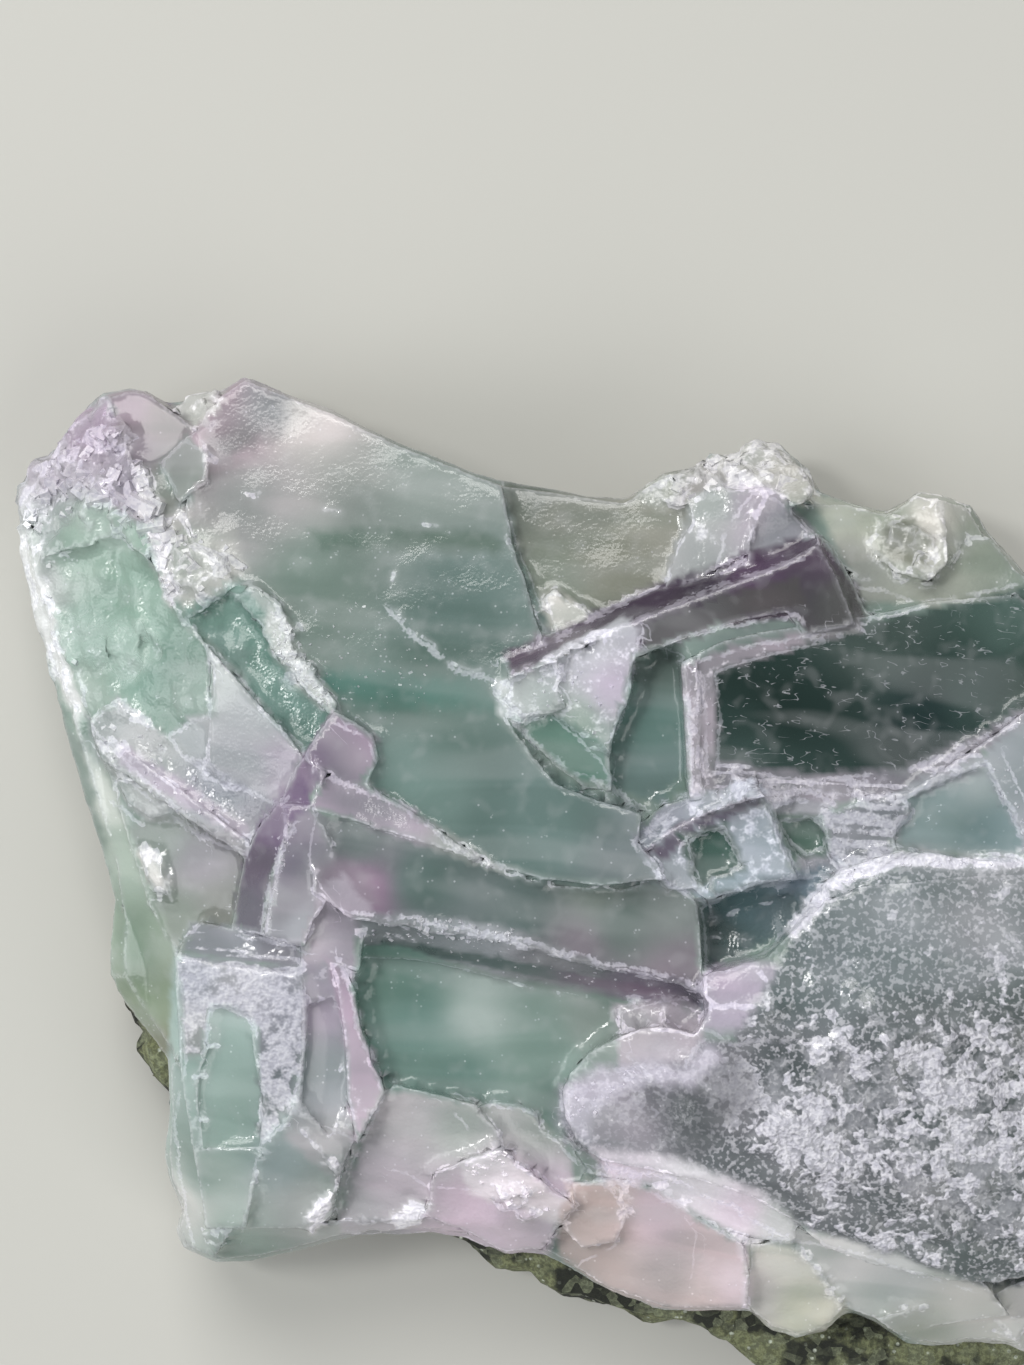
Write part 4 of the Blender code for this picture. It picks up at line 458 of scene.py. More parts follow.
# White lines along breaks and joins: the width in millimetres, how white, and the points.
seams = [
    (0.5, 0.9, [(64, 80.6), (60, 78.4), (54.6, 75.4), (51.6, 72.6), (50, 70), (49.5, 68.1), (45, 66.6),
      (42, 64), (38.7, 60.6)]),
    (0.3, 0.7, [(30.4, 75.4), (25.6, 70.2), (20.6, 64.4), (18, 61.3)]),
    (0.5, 0.8, [(32.6, 77.8), (40, 80.6), (45, 84.4), (50, 86.6)]),
    (0.45, 1, [(29.3, 82.9), (28.2, 84.6), (27, 88.6), (26.4, 92.2)]),
    (0.3, 0.9, [(30.6, 95.2), (26.4, 93.9), (23.6, 93)]),
    (0.35, 0.9, [(33.8, 96), (35.2, 99.6), (35.6, 103), (37.2, 106), (38.5, 109.2)]),
    (0.3, 0.6, [(38.4, 109.4), (35.8, 114.8), (34.4, 118.8)]),
    (0.5, 0.9, [(50.4, 65.8), (56, 63.6), (60, 61.4), (63, 59.9)]),
    (0.4, 0.7, [(80, 56), (74.6, 57.6), (70, 59.4), (63, 62.3)]),
    (0.35, 1, [(64.4, 65.2), (69, 63.5), (73, 62.6), (79.8, 61.6), (80.8, 63.5), (85.8, 63)]),
    (0.3, 0.8, [(103, 58), (94, 60.4), (84, 62.9), (75, 64.6), (68.3, 66.5)]),
    (0.45, 1, [(69.2, 79.2), (69, 72), (68.4, 66.5)]),
    (0.3, 0.6, [(71.6, 77), (72, 73), (71.6, 67.6)]),
    (0.5, 1, [(69.3, 79.6), (76, 78.4), (83, 79.2), (90, 77.4), (96, 75), (103.6, 71.4), (110, 67.6)]),
    (0.35, 0.9, [(63.2, 84), (67.6, 81), (75.6, 78.2), (76.6, 80.2), (79.8, 87.6)]),
    (0.35, 0.8, [(80.4, 87.4), (76.6, 88.4), (70.6, 90.1), (66.6, 88.4), (63.2, 84.4)]),
    (0.4, 0.8, [(102.6, 84.4), (98.6, 76.2), (90.4, 79.6)]),
    (0.3, 0.5, [(70.4, 103), (73.6, 104.4), (79, 104)]),
    (0.4, 0.6, [(56.4, 110), (59.4, 107.4), (65, 106.3), (68, 107.3), (70.4, 103.6)]),
    (0.5, 1, [(36, 91.2), (42, 91.9), (50, 93.4), (60, 96.2), (70, 98.6)]),
    (0.3, 0.9, [(46, 109.6), (50, 110.8), (53.8, 111.2), (54.6, 113.4), (57.6, 116)]),
    (0.35, 0.8, [(79.4, 123.9), (74.4, 124.2), (70, 121.8), (64, 118.6), (57.6, 118.4)]),
    (0.2, 0.35, [(16.2, 46.4), (18.6, 43.8), (20.6, 45.2), (20.4, 47.8), (18.2, 50), (16.2, 46.4)]),
    (0.3, 0.7, [(28, 80.2), (21.2, 78), (16.6, 73.6), (21.2, 71.4), (20.8, 64.6)]),
    (0.35, 0.8, [(16.4, 73.8), (12, 70.2), (9, 72)]),
    (0.3, 0.6, [(24.6, 85.4), (20, 83.4), (15, 80), (9.4, 74.8)]),
    (0.3, 0.6, [(19.4, 124.6), (18, 118), (17.4, 112), (18.6, 106), (18.2, 100), (17.6, 95.4)]),
    (0.2, 0.5, [(54, 60.2), (51.6, 54.6), (50.2, 48.4)]),
    (0.7, 0.9, [(27.6, 60.4), (29.6, 65.6), (33.4, 70.4)]),
    (0.25, 0.8, [(55, 71.4), (57.6, 73.2), (60.2, 76.2), (61.4, 79)]),
    (0.35, 1, [(61.2, 73.6), (62.8, 69.8), (63.4, 66), (64.2, 63.4)]),
    (0.22, 0.9, [(70.6, 88.9), (71, 87.9), (74.4, 86.6), (72.3, 82.8), (68.8, 84)]),
    (0.22, 0.9, [(68.8, 84), (69.6, 87.4)]),
    (0.3, 1, [(75.8, 78.4), (77, 81.6), (79.8, 87.8), (71, 90)]),
    (0.22, 0.9, [(77.9, 82), (81, 81.8), (82.4, 83), (82.3, 84.9), (80.5, 85.5), (79.2, 84.4), (77.9, 82)]),
    (0.3, 0.8, [(84.6, 87), (84.8, 83), (82.6, 80.2), (76.8, 80.2)]),
    (0.3, 1, [(90.6, 79.9), (91.4, 81.4), (89.8, 82.6), (89.6, 84.8), (86, 86)]),
    (0.25, 0.8, [(100.2, 75.2), (104.6, 84.6)]),
    (0.2, 0.6, [(71.8, 67), (78, 65.3), (86, 63.2)]),
    (0.2, 0.6, [(70.2, 67.2), (70.6, 73), (70.6, 78.6)]),
    (0.3, 0.8, [(89, 77.2), (84, 77.8), (79, 77.8), (73, 77.2)]),
    (0.25, 0.9, [(75, 79.8), (80, 80.2), (86, 79.4)]),
    (0.2, 0.7, [(53.8, 71), (56, 71.6), (57.2, 70.4), (56.2, 68.6)]),
    (0.3, 1, [(25.9, 113.6), (26.2, 108), (25.6, 102.4), (24.4, 101.4), (21.6, 100.4), (20.8, 101.8),
      (20.4, 105.2)]),
    (0.25, 0.8, [(30.2, 97.4), (30.6, 102), (30, 108), (28.4, 112.6), (26, 114.4)]),
    (0.2, 0.5, [(24.2, 123.4), (25, 120), (25.8, 114.6)]),
    (0.2, 0.6, [(28.8, 111.2), (32.6, 112.6), (35.4, 114.2)]),
    (0.3, 0.7, [(8.8, 72), (11.4, 75), (16, 79.4), (20.4, 82.8)]),
    (0.25, 0.6, [(28.2, 80.6), (19, 75.6), (12.4, 70.6)]),
    (0.3, 0.7, [(11.2, 80), (14.2, 82.4), (17.4, 82), (20.6, 84.2)]),
    (0.3, 0.9, [(46, 116.6), (50, 115), (54, 118), (57.4, 120.6)]),
    (0.2, 0.6, [(50.6, 114.8), (47, 113), (44.2, 110.4)]),
    (0.2, 0.5, [(47, 119.2), (43, 118.6), (39.4, 117)]),
    (0.2, 0.7, [(58, 126.4), (61.6, 124.6), (62.6, 121.4), (60.2, 118.4)]),
    (0.15, 0.4, [(69, 127.6), (69.6, 123.4), (67, 119.8)]),
    (0.4, 0.9, [(59.6, 116.6), (66, 117.6), (73, 120.4), (78.4, 124)]),
    (0.3, 0.5, [(97, 129), (88, 126), (79.8, 124)]),
    (0.25, 0.9, [(85.4, 58.4), (87.2, 62), (86.2, 62.8)]),
    (0.3, 0.5, [(82.4, 54), (85.6, 58.4), (92, 60.4), (98, 60)]),
    (0.3, 0.6, [(71.6, 57.4), (72.4, 53), (75.4, 49), (79, 51.4)]),
    (0.25, 0.8, [(37.4, 76.2), (36.6, 73.8), (33.4, 72)]),
    (0.2, 0.5, [(33.8, 91.6), (31, 86), (31.6, 80.8)]),
    (0.25, 0.8, [(70.6, 99.4), (70.4, 96), (70.3, 90.6)]),
    (0.3, 0.7, [(70.6, 90.4), (76.4, 88.6), (84, 87), (80, 90.6), (77.4, 94.6), (73.6, 96.8)]),
    (0.25, 0.6, [(70, 101), (66, 100.2), (62, 101.4), (63, 104)]),
    (0.3, 0.8, [(92.4, 56.8), (93.4, 54), (91.4, 51.6), (88.4, 52.6)]),
]


def toSegment(x, y, start, end):
    # how far each reading is from a segment, and a number whose sign tells the side that it lies on
    ex, ey = end[0] - start[0], end[1] - start[1]
    dx, dy = x - start[0], y - start[1]
    along = np.clip((dx * ex + dy * ey) / (ex * ex + ey * ey), 0, 1)
    return np.hypot(dx - along * ex, dy - along * ey), ex * dy - ey * dx


def insideDistance(points, outline):
    # how far inside an outline each reading lies, negative outside it
    x, y = points[:, 0], points[:, 1]
    nearest = np.full(len(points), 1e9)
    within = np.zeros(len(points), bool)
    for start, end in zip(outline, outline[1:] + outline[:1]):
        nearest = np.minimum(nearest, toSegment(x, y, start, end)[0])
        (x0, y0), (x1, y1) = start, end
        if y1 != y0:
            within ^= ((y0 > y) != (y1 > y)) & (x < x0 + (x1 - x0) * (y - y0) / (y1 - y0))
    return np.where(within, nearest, -nearest)


def smooth(value, low, high):
    t = np.clip((value - low) / (high - low), 0, 1)
    return t * t * (3 - 2 * t)


def noiseAt(points, size, offset=0.0):
    # smooth noise at every point, with blotches of this many millimetres
    scale = 1000 / size
    shift = Vector((offset, offset * 1.7, offset * 0.6))
    return np.array([noise.noise(Vector(p) * scale + shift) for p in points])


def meshFrom(bm, name):
    mesh = bpy.data.meshes.new(name)
    bm.to_mesh(mesh)
    bm.free()
    return mesh


def addObject(name, data):
    holder = bpy.data.objects.new(name, data)
    bpy.context.scene.collection.objects.link(holder)
    return holder


def placePoints(mesh, points, margin=1e-5, lowest=1e-5):
    # moves a mesh's points to these places, kept inside the CAD box
    low, high = np.array(cadBox[0]) + margin, np.array(cadBox[1]) - margin
    low[2] = lowest
    mesh.vertices.foreach_set("co", np.clip(points, low, high).ravel())
    mesh.update()


def coordinates(mesh):
    flat = np.empty(len(mesh.vertices) * 3)
    mesh.vertices.foreach_get("co", flat)
    return flat.reshape(-1, 3)


def fineMesh(node, depth, scale, sharpAngle):
    # a merged copy of the node's mesh, cut into small even faces that keep its sharp edges
    bm = bmesh.new()
    bm.from_mesh(node.data)
    bmesh.ops.remove_doubles(bm, verts=bm.verts, dist=2e-6)
    coarse = meshFrom(bm, "coarse")
    helper = addObject("coarse", coarse)
    remesh = helper.modifiers.new("even faces", "REMESH")
    remesh.mode = "SHARP"
    remesh.octree_depth = depth
    remesh.scale = scale
    remesh.sharpness = 1.0
    remesh.use_remove_disconnected = True
    remesh.threshold = 0.05
    fine = bpy.data.meshes.new_from_object(helper.evaluated_get(bpy.context.evaluated_depsgraph_get()))
    bpy.data.objects.remove(helper)
    bpy.data.meshes.remove(coarse)
    bm = bmesh.new()
    bm.from_mesh(fine)
    bpy.data.meshes.remove(fine)
    for edge in bm.edges:
        edge.smooth = len(edge.link_faces) == 2 and edge.calc_face_angle(0) < math.radians(sharpAngle)
    for face in bm.faces:
        face.smooth = True
    return bm


def edgeDistances(bm):
    # how far each vertex is from a ridge, and from a crease
    ridges, creases = [], []
    for edge in bm.edges:
        if not edge.smooth and len(edge.link_faces) == 2:
            (ridges if edge.is_convex else creases).extend(v.co.copy() for v in edge.verts)
    found = []
    for spots in (ridges, creases):
        tree = kdtree.KDTree(len(spots))
        for number, spot in enumerate(spots):
            tree.insert(spot, number)
        tree.balance()
        found.append(np.array([tree.find(v.co)[2] for v in bm.verts]) * 1000)
    return found


def blockNoise(points, size, turn, offset=0.0):
    # a random shift for each small cube of a lattice, so that edges break in steps
    scale = 1000 / size
    spin = turn.to_matrix()
    shift = Vector((offset, offset * 1.3, offset * 0.7))
    return np.array([noise.cell_vector(spin @ Vector(p) * scale + shift) for p in points]) - 0.5


def addTint(mesh, tint):
    colours = mesh.color_attributes.new("tint", "FLOAT_COLOR", "POINT")
    colours.data.foreach_set("color", np.column_stack([tint, np.ones(len(tint))]).ravel().astype(np.float32))


paintLook = {
    "ground": shade(128, 146, 138),
    "ragged": (1.6, 0.7),  # blotches of a zone's ragged edge, in millimetres
    "wander": 2.4,
    "farSide": 9.0,  # the side value where no seam is near
    "seamFade": (0.8, 1.4),  # a seam's whiteness ends between these distances
}


def paint(points):
    # tint, and how frosted, etched, rough, scratched and banded it is, at every ruler reading
    count = len(points)
    tint = np.tile(np.array(paintLook["ground"]), (count, 1))
    layers = {name: np.zeros(count) for name in ("frost", "etch", "rough", "curls", "banded")}
    flat = np.column_stack([points / 1000, np.zeros(count)])
    big, small = paintLook["ragged"]
    ragged = noiseAt(flat, big) + 0.6 * noiseAt(flat, small, 5.0)
    for soft, marks, spots, outline in zones.values():
        low = np.min(outline, axis=0) - soft * 2
        high = np.max(outline, axis=0) + soft * 2
        near = np.nonzero(np.all((points > low) & (points < high), axis=1))[0]
        inside = insideDistance(points[near], outline) + ragged[near] * (0.1 + 0.4 * soft)
        cover = smooth(inside, -soft * 0.8, soft * 0.8)[:, None]
        total = np.zeros(len(near))
        colour = np.zeros((len(near), 3))
        for across, down, *seen in spots:
            weight = 1 / (0.6 + (points[near, 0] - across) ** 2 + (points[near, 1] - down) ** 2) ** 1.5
            colour += weight[:, None] * np.array(shade(*seen))
            total += weight
        tint[near] = tint[near] * (1 - cover) + cover * colour / total[:, None]
        for name, layer in layers.items():
            layer[near] = layer[near] * (1 - cover[:, 0]) + cover[:, 0] * marks.get(name, 0)
    return tint, layers


def seamLines(points):
    # which side of the nearest seam a reading lies on and how far, in seam widths, and how white the seam is
    farSide = paintLook["farSide"]
    wander = noiseAt(np.column_stack([points / 1000, np.zeros(len(points))]), paintLook["wander"], 9.0)
    x, y = points[:, 0] + 0.3 * wander, points[:, 1] - 0.3 * wander
    side, white = np.full(len(points), farSide), np.zeros(len(points))
    for width, strength, line in seams:
        for start, end in zip(line, line[1:]):
            away, turn = toSegment(x, y, start, end)
            nearer = away / width < np.abs(side)
            side = np.where(nearer, np.where(turn < 0, -1, 1) * away / width, side)
            white = np.where(nearer, strength * (1 - smooth(away, *paintLook["seamFade"])), white)
    return np.clip(side, -farSide, farSide), white


def filledHeight(node, points, step, reach, shallow):
    # the height of the top surface with its narrow slots filled, at every point, or 0 where nothing is
    # filled or the slot is shallow
    bm = bmesh.new()
    bm.from_mesh(node.data)
    tree = BVHTree.FromBMesh(bm)
    bm.free()
    low, high = np.array(cadBox[0]), np.array(cadBox[1])
    columns, rows = (np.ceil((high - low) / step).astype(int) + 1)[:2]
    top = np.full((rows, columns), -1.0)
    for row in range(rows):
        for column in range(columns):
            start = Vector((low[0] + column * step, low[1] + row * step, high[2] + 0.01))
            hit = tree.ray_cast(start, Vector((0, 0, -1)))[0]
            if hit is not None:
                top[row, column] = hit.z
    span = int(round(reach / step))
    around = range(-span, span + 1)
    disc = [(i, j) for i in around for j in around if i * i + j * j <= span * span + 1]
    cross = [(i, j) for i in (-1, 0, 1) for j in (-1, 0, 1) if i * j == 0]
    wide = np.max([np.roll(top, shift, (0, 1)) for shift in disc], axis=0)
    closed = np.min([np.roll(wide, shift, (0, 1)) for shift in disc], axis=0)
    slots = (top >= 0) & (closed - top > shallow)
    slots = np.max([np.roll(slots, shift, (0, 1)) for shift in cross], axis=0)
    closed[(top < 0) | ~slots] = 0
    row = np.clip(np.round((points[:, 1] - low[1]) / step).astype(int), 0, rows - 1)
    column = np.clip(np.round((points[:, 0] - low[0]) / step).astype(int), 0, columns - 1)
    return closed[row, column]


crystalLook = {
    "depth": 8,
    "scale": 0.73,
    "sharpAngle": 20,
    "topHeight": 0.0095,  # the crystals' tops are all above this height
    "moving": (0.0085, 0.0105),  # nothing moves below the first height, all does above the second
    "slots": (0.0005, 0.001, 0.00006),  # the grid's step, half the widest slot, and the least depth filled
    "cleavage": Euler((0.10, -0.06, math.radians(-16))),
    "ridgeJag": 0.00026,  # how far a ridge breaks in steps
    "ridgeBlocks": (1.1, 0.6),  # sizes in millimetres, here and below
    "ridgeWidth": (0.1, 0.9),
    "ridgeCalm": 7.0,
    "roughJag": 0.0012,
    "roughBlocks": (2.3, 1.2),
    "ripple": 0.00012,
    "rippleSizes": (5.0, 2.2),
    "knobs": 0.0006,  # how far the etched dome's knobs stand up
    "knobSizes": (3.4, 1.7),
    "farthest": 5.0,  # a ridge or crease past this distance doesn't count
    "cloud": 7.0,  # the shader's patterns
    "veil": (17, 3.2, 6),
    "bands": (9, 0.5, 2.4),
    "dashes": (2.4, 0.9, 1.6),
    "grain": 0.55,
    "patch": 2.2,
    "specks": 0.62,
    "branches": 1.9,
    "clearBump": (0.0005, 0.55),
    "frostBump": 0.0004,
    "ior": 1.434,
    "seeThrough": 0.5,
    "lift": (1.76, 1.72, 1.74),  # the part of the light that the see-through share doesn't send back
    "absorb": (0.51, 0.57, 0.55),
    "absorbDensity": 70.0,
}


def makeFluorite():
    look = crystalLook
    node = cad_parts["fluorite"]
    bm = fineMesh(node, look["depth"], look["scale"], look["sharpAngle"])
    ridge, crease = edgeDistances(bm)
    points = np.array([v.co for v in bm.verts])
    filled = filledHeight(node, points, *look["slots"])
    height = points[:, 2]
    points[:, 2] = np.where(height > look["topHeight"], np.maximum(height, filled), height)
    seen = toRuler(points)
    tint, layers = paint(seen)
    side, white = seamLines(seen)
    turn = look["cleavage"]
    moving = smooth(points[:, 2], *look["moving"])
    nearRidge = 1 - smooth(ridge, *look["ridgeWidth"])
    big, small = look["ridgeBlocks"]
    blocks = blockNoise(points, big, turn) + 0.6 * blockNoise(points, small, turn, 4.0)
    big, small = look["roughBlocks"]
    chunky = blockNoise(points, big, turn, 11.0) + 0.8 * blockNoise(points, small, turn, 7.0)
    big, small = look["rippleSizes"]
    ripple = noiseAt(points, big, 2.0) + 0.5 * noiseAt(points, small, 6.0)
    big, small = look["knobSizes"]
    knobs = np.abs(noiseAt(points, big, 4.0)) + 0.7 * noiseAt(points, small, 12.0)
    calm = 0.4 + 0.6 * smooth(noiseAt(points, look["ridgeCalm"], 3.0), -0.2, 0.3)
    move = blocks * (nearRidge * look["ridgeJag"] * calm)[:, None]
    move += chunky * (layers["rough"] * look["roughJag"])[:, None]
    move[:, 2] += ripple * look["ripple"] + knobs * layers["etch"] * look["knobs"]
    points = points + move * moving[:, None]
    for vertex, point in zip(bm.verts, points):
        vertex.co = point
    top = [v for v in bm.verts if v.co.z > look["topHeight"]]
    bmesh.ops.smooth_vert(bm, verts=top, factor=0.5, use_axis_x=True, use_axis_y=True, use_axis_z=True)
    for edge in bm.edges:
        edge.smooth = True
    mesh = meshFrom(bm, "fluorite_crystals")
    placePoints(mesh, coordinates(mesh))
    addTint(mesh, tint)
    layers.update(seam=white, seamSide=side)
    layers.update(ridge=np.minimum(ridge, look["farthest"]), crease=np.minimum(crease, look["farthest"]))
    for name, values in layers.items():
        attribute = mesh.attributes.new(name, "FLOAT", "POINT")
        attribute.data.foreach_set("value", np.ascontiguousarray(values, dtype=np.float32))
    mesh.update()
    piece = addObject("fluorite_crystals", mesh)
    mesh.materials.append(fluoriteMaterial())
    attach(piece, "root")
    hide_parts("fluorite")
    print("fluorite", len(mesh.polygons), "faces")
    return piece


def fluoriteMaterial():
    look = crystalLook
    m = Recipe("fluorite crystal")
    tint = m.attribute("tint", "Color")
    frost, etch = m.attribute("frost"), m.attribute("etch")
    seam, seamSide = m.attribute("seam"), m.attribute("seamSide")
    ridge, crease, rough = m.attribute("ridge"), m.attribute("crease"), m.attribute("rough")
    curls, banded = m.attribute("curls"), m.attribute("banded")
    cloud = m.noise(look["cloud"], detail=0)
    veil = m.noise(1.0, detail=0, point=m.stretched(-5, look["veil"]))
    bands = m.noise(1.0, detail=0, point=m.stretched(-3, look["bands"]))
    grain = m.noise(look["grain"], detail=1, roughness=0.7)
    patch = m.noise(look["patch"], detail=1)
    # short scratches and small bright spots
    spot, pick = m.cells(look["specks"], "2D")
    dash = m.noise(1.0, detail=1, point=m.stretched(-8, look["dashes"]))
    scratch = dash.distance(0.5).step(0.016, 0.004) * (pick + curls * 0.4).step(0.86, 0.90) * 0.8
    scratch = scratch * (patch + curls * 0.2).step(0.54, 0.62)
    sparkle = spot.step(0.24, 0.09) * pick.step(0.76, 0.80) * patch.step(0.46, 0.60)
    # frost: broken patches, thicker along ridges and seams
    ridgeFrost = ridge.step(0.50, 0.05) * patch.step(0.42, 0.60) * 0.45
    creaseFrost = crease.step(0.5, 0.0) * patch.step(0.44, 0.6) * 0.45
    seamAway = seamSide.math("ABSOLUTE") + (grain - 0.5) * 2.6
    raggedSeam = seamAway.step(0.85, 0.25) * seam * patch.step(0.34, 0.48)
    amount = frost + ridgeFrost + creaseFrost + (patch - 0.5) * 0.9 * frost.step(0.02, 0.2)
    amount = amount + (grain - 0.5) * 0.45 + (bands - 0.5) * banded * 2.4
    # a thin white line along the ridges: a painted highlight of light catching the edges
    paintedRidgeHighlight = ridge.step(0.34, 0.06) * grain.step(0.34, 0.52) * 0.4
    frosted = (amount.step(0.40, 0.64) * (1 - etch * 0.7)).higher(raggedSeam * 0.95).higher(paintedRidgeHighlight)
    # etched dome: pale dendrites over dark crystal
    branch = m.noise(look["branches"], detail=2, roughness=0.65)
    coral = (branch + (cloud - 0.5) * 0.5 + frost * 0.18).step(0.58, 0.64)
    dendrite = coral * (0.6 + spot.step(0.7, 0.3) * 0.4)
    etched = etch * (dendrite + grain.step(0.48, 0.62) * 0.46).clamped()
    white = frosted.higher(etched)
    lines = (scratch * 0.85 + sparkle * (0.6 + rough * 0.4)) * (1 - etch)
    # the clear crystal: clouds, paler edges and veils over the painted colour; the paler edges are partly
    # wear and partly a painted glow of light shining through the thin rims
    base = m.mix(((cloud - 0.5) * 2.6 + 0.62).clamped(), m.times(tint, (0.70, 0.75, 0.73)), tint)
    # milky patches at random, and paler towards the ridges: there partly worn whitening, partly a painted
    # glow of light through the thin edges
    base = m.mix(patch.step(0.50, 0.78) * 0.12 + ridge.step(0.9, 0.0) * 0.16, base, (0.50, 0.52, 0.53))
    base = m.mix(veil.step(0.52, 0.70) * 0.12, base, (0.50, 0.53, 0.53))
    base = m.mix(veil.step(0.48, 0.34) * 0.32, base, m.times(base, (0.62, 0.70, 0.67)))
    base = m.mix(etch * 0.6, base, m.times(base, (0.50, 0.54, 0.54)))
    clear = m.shader({
        "Base Color": m.times(base, look["lift"]),
        "Roughness": 0.13 + rough * 0.2 + (patch - 0.5) * 0.16,
        "IOR": look["ior"],
        "Transmission Weight": look["seeThrough"],
        "Normal": m.bump(cloud * 0.6 + grain * (0.10 + rough * 0.5), *look["clearBump"]),
    })
    # the frosted crust
    frostTint = m.mix(0.36 + etch * 0.30, m.times(tint, (1.35, 1.35, 1.35)), (0.76, 0.75, 0.80))
    crust = m.shader({
        "Base Color": m.mix(grain.step(0.35, 0.75), m.times(frostTint, (0.74, 0.74, 0.78)), frostTint),
        "Roughness": 0.36 + grain * 0.3,
        "IOR": look["ior"],
        "Coat Weight": 0.6,
        "Coat Roughness": 0.12,
        "Normal": m.bump(grain + branch * etch * 2, look["frostBump"], 0.6 + etch * 0.3),
    })
    surface = m.add("ShaderNodeMixShader", {}, {0: (white + lines).clamped(), 1: clear, 2: crust})
    depth = m.add("ShaderNodeVolumeAbsorption", {},
                  {"Color": (*look["absorb"], 1.0), "Density": look["absorbDensity"]})
    return m.finish(surface, depth)


rockLook = {
    "depth": 7,
    "scale": 0.85,
    "sharpAngle": 60,
    "lump": 0.00045,
    "lumpSizes": (3.4, 1.5),
    "grit": 0.00018,
    "gritSize": 0.9,
    "gritTurn": Euler((0.3, 0.2, 0.5)),
    "seat": (0.35, 2.2),  # millimetres from the fluorite over which the rock starts to move
    "foot": 0.0012,
    "grains": 1.1,  # the shader's patterns
    "spots": 0.8,
    "blotches": 5.0,
    "fine": 0.5,
    "bump": (0.0006, 0.9),
}


def makeRock():
    look = rockLook
    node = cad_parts["matrix_rock"]
    bm = fineMesh(node, look["depth"], look["scale"], look["sharpAngle"])
    mesh = meshFrom(bm, "matrix_rock_rough")
    points = coordinates(mesh)
    # the part that lies in its seat stays as it is, so that it never meets the fluorite
    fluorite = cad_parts["fluorite"].data
    tree = BVHTree.FromPolygons([v.co for v in fluorite.vertices], [p.vertices for p in fluorite.polygons])
    clear = np.array([tree.find_nearest(Vector(p))[3] for p in points]) * 1000
    free = smooth(clear, *look["seat"]) * smooth(points[:, 2], 0.0, look["foot"])
    big, small = look["lumpSizes"]
    lumps = noiseAt(points, big, 1.0) + 0.6 * noiseAt(points, small, 8.0)
    grit = blockNoise(points, look["gritSize"], look["gritTurn"], 3.0)
    outward = points - points.mean(axis=0)
    outward[:, 2] = 0
    outward /= np.maximum(np.linalg.norm(outward, axis=1), 1e-6)[:, None]
    move = outward * (lumps * look["lump"] - look["lump"] * 0.5)[:, None] + grit * look["grit"]
    move[:, 2] += lumps * look["lump"] * 0.8
    placePoints(mesh, points + move * free[:, None], lowest=0.0)
    piece = addObject("matrix_rock_rough", mesh)
    mesh.materials.append(rockMaterial())
    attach(piece, "root")
    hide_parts("matrix_rock")
    print("rock", len(mesh.polygons), "faces")


def rockMaterial():
    look = rockLook
    m = Recipe("matrix rock")
    lump, grains = m.cells(look["grains"])
    spot, pick = m.cells(look["spots"])
    blotch = m.noise(look["blotches"], detail=5)
    grit = m.noise(look["fine"], detail=4, roughness=0.7)
    pale = spot.step(0.34, 0.16) * pick.step(0.70, 0.76)
    dark = m.mix(blotch.step(0.44, 0.56), shade(40, 44, 34), shade(136, 142, 104))
    dark = m.mix(grains.step(0.4, 0.8) * 0.6, dark, shade(150, 158, 128))
    base = m.mix(pale * 0.95, dark, shade(216, 224, 206))
    base = m.mix(grit.step(0.60, 0.42) * 0.5, base, shade(24, 26, 22))
    bump = m.bump(grit + lump * 0.6 + blotch, *look["bump"])
    return m.finish(m.shader({"Base Color": base, "Roughness": 0.55 + grit * 0.35, "Normal": bump}))


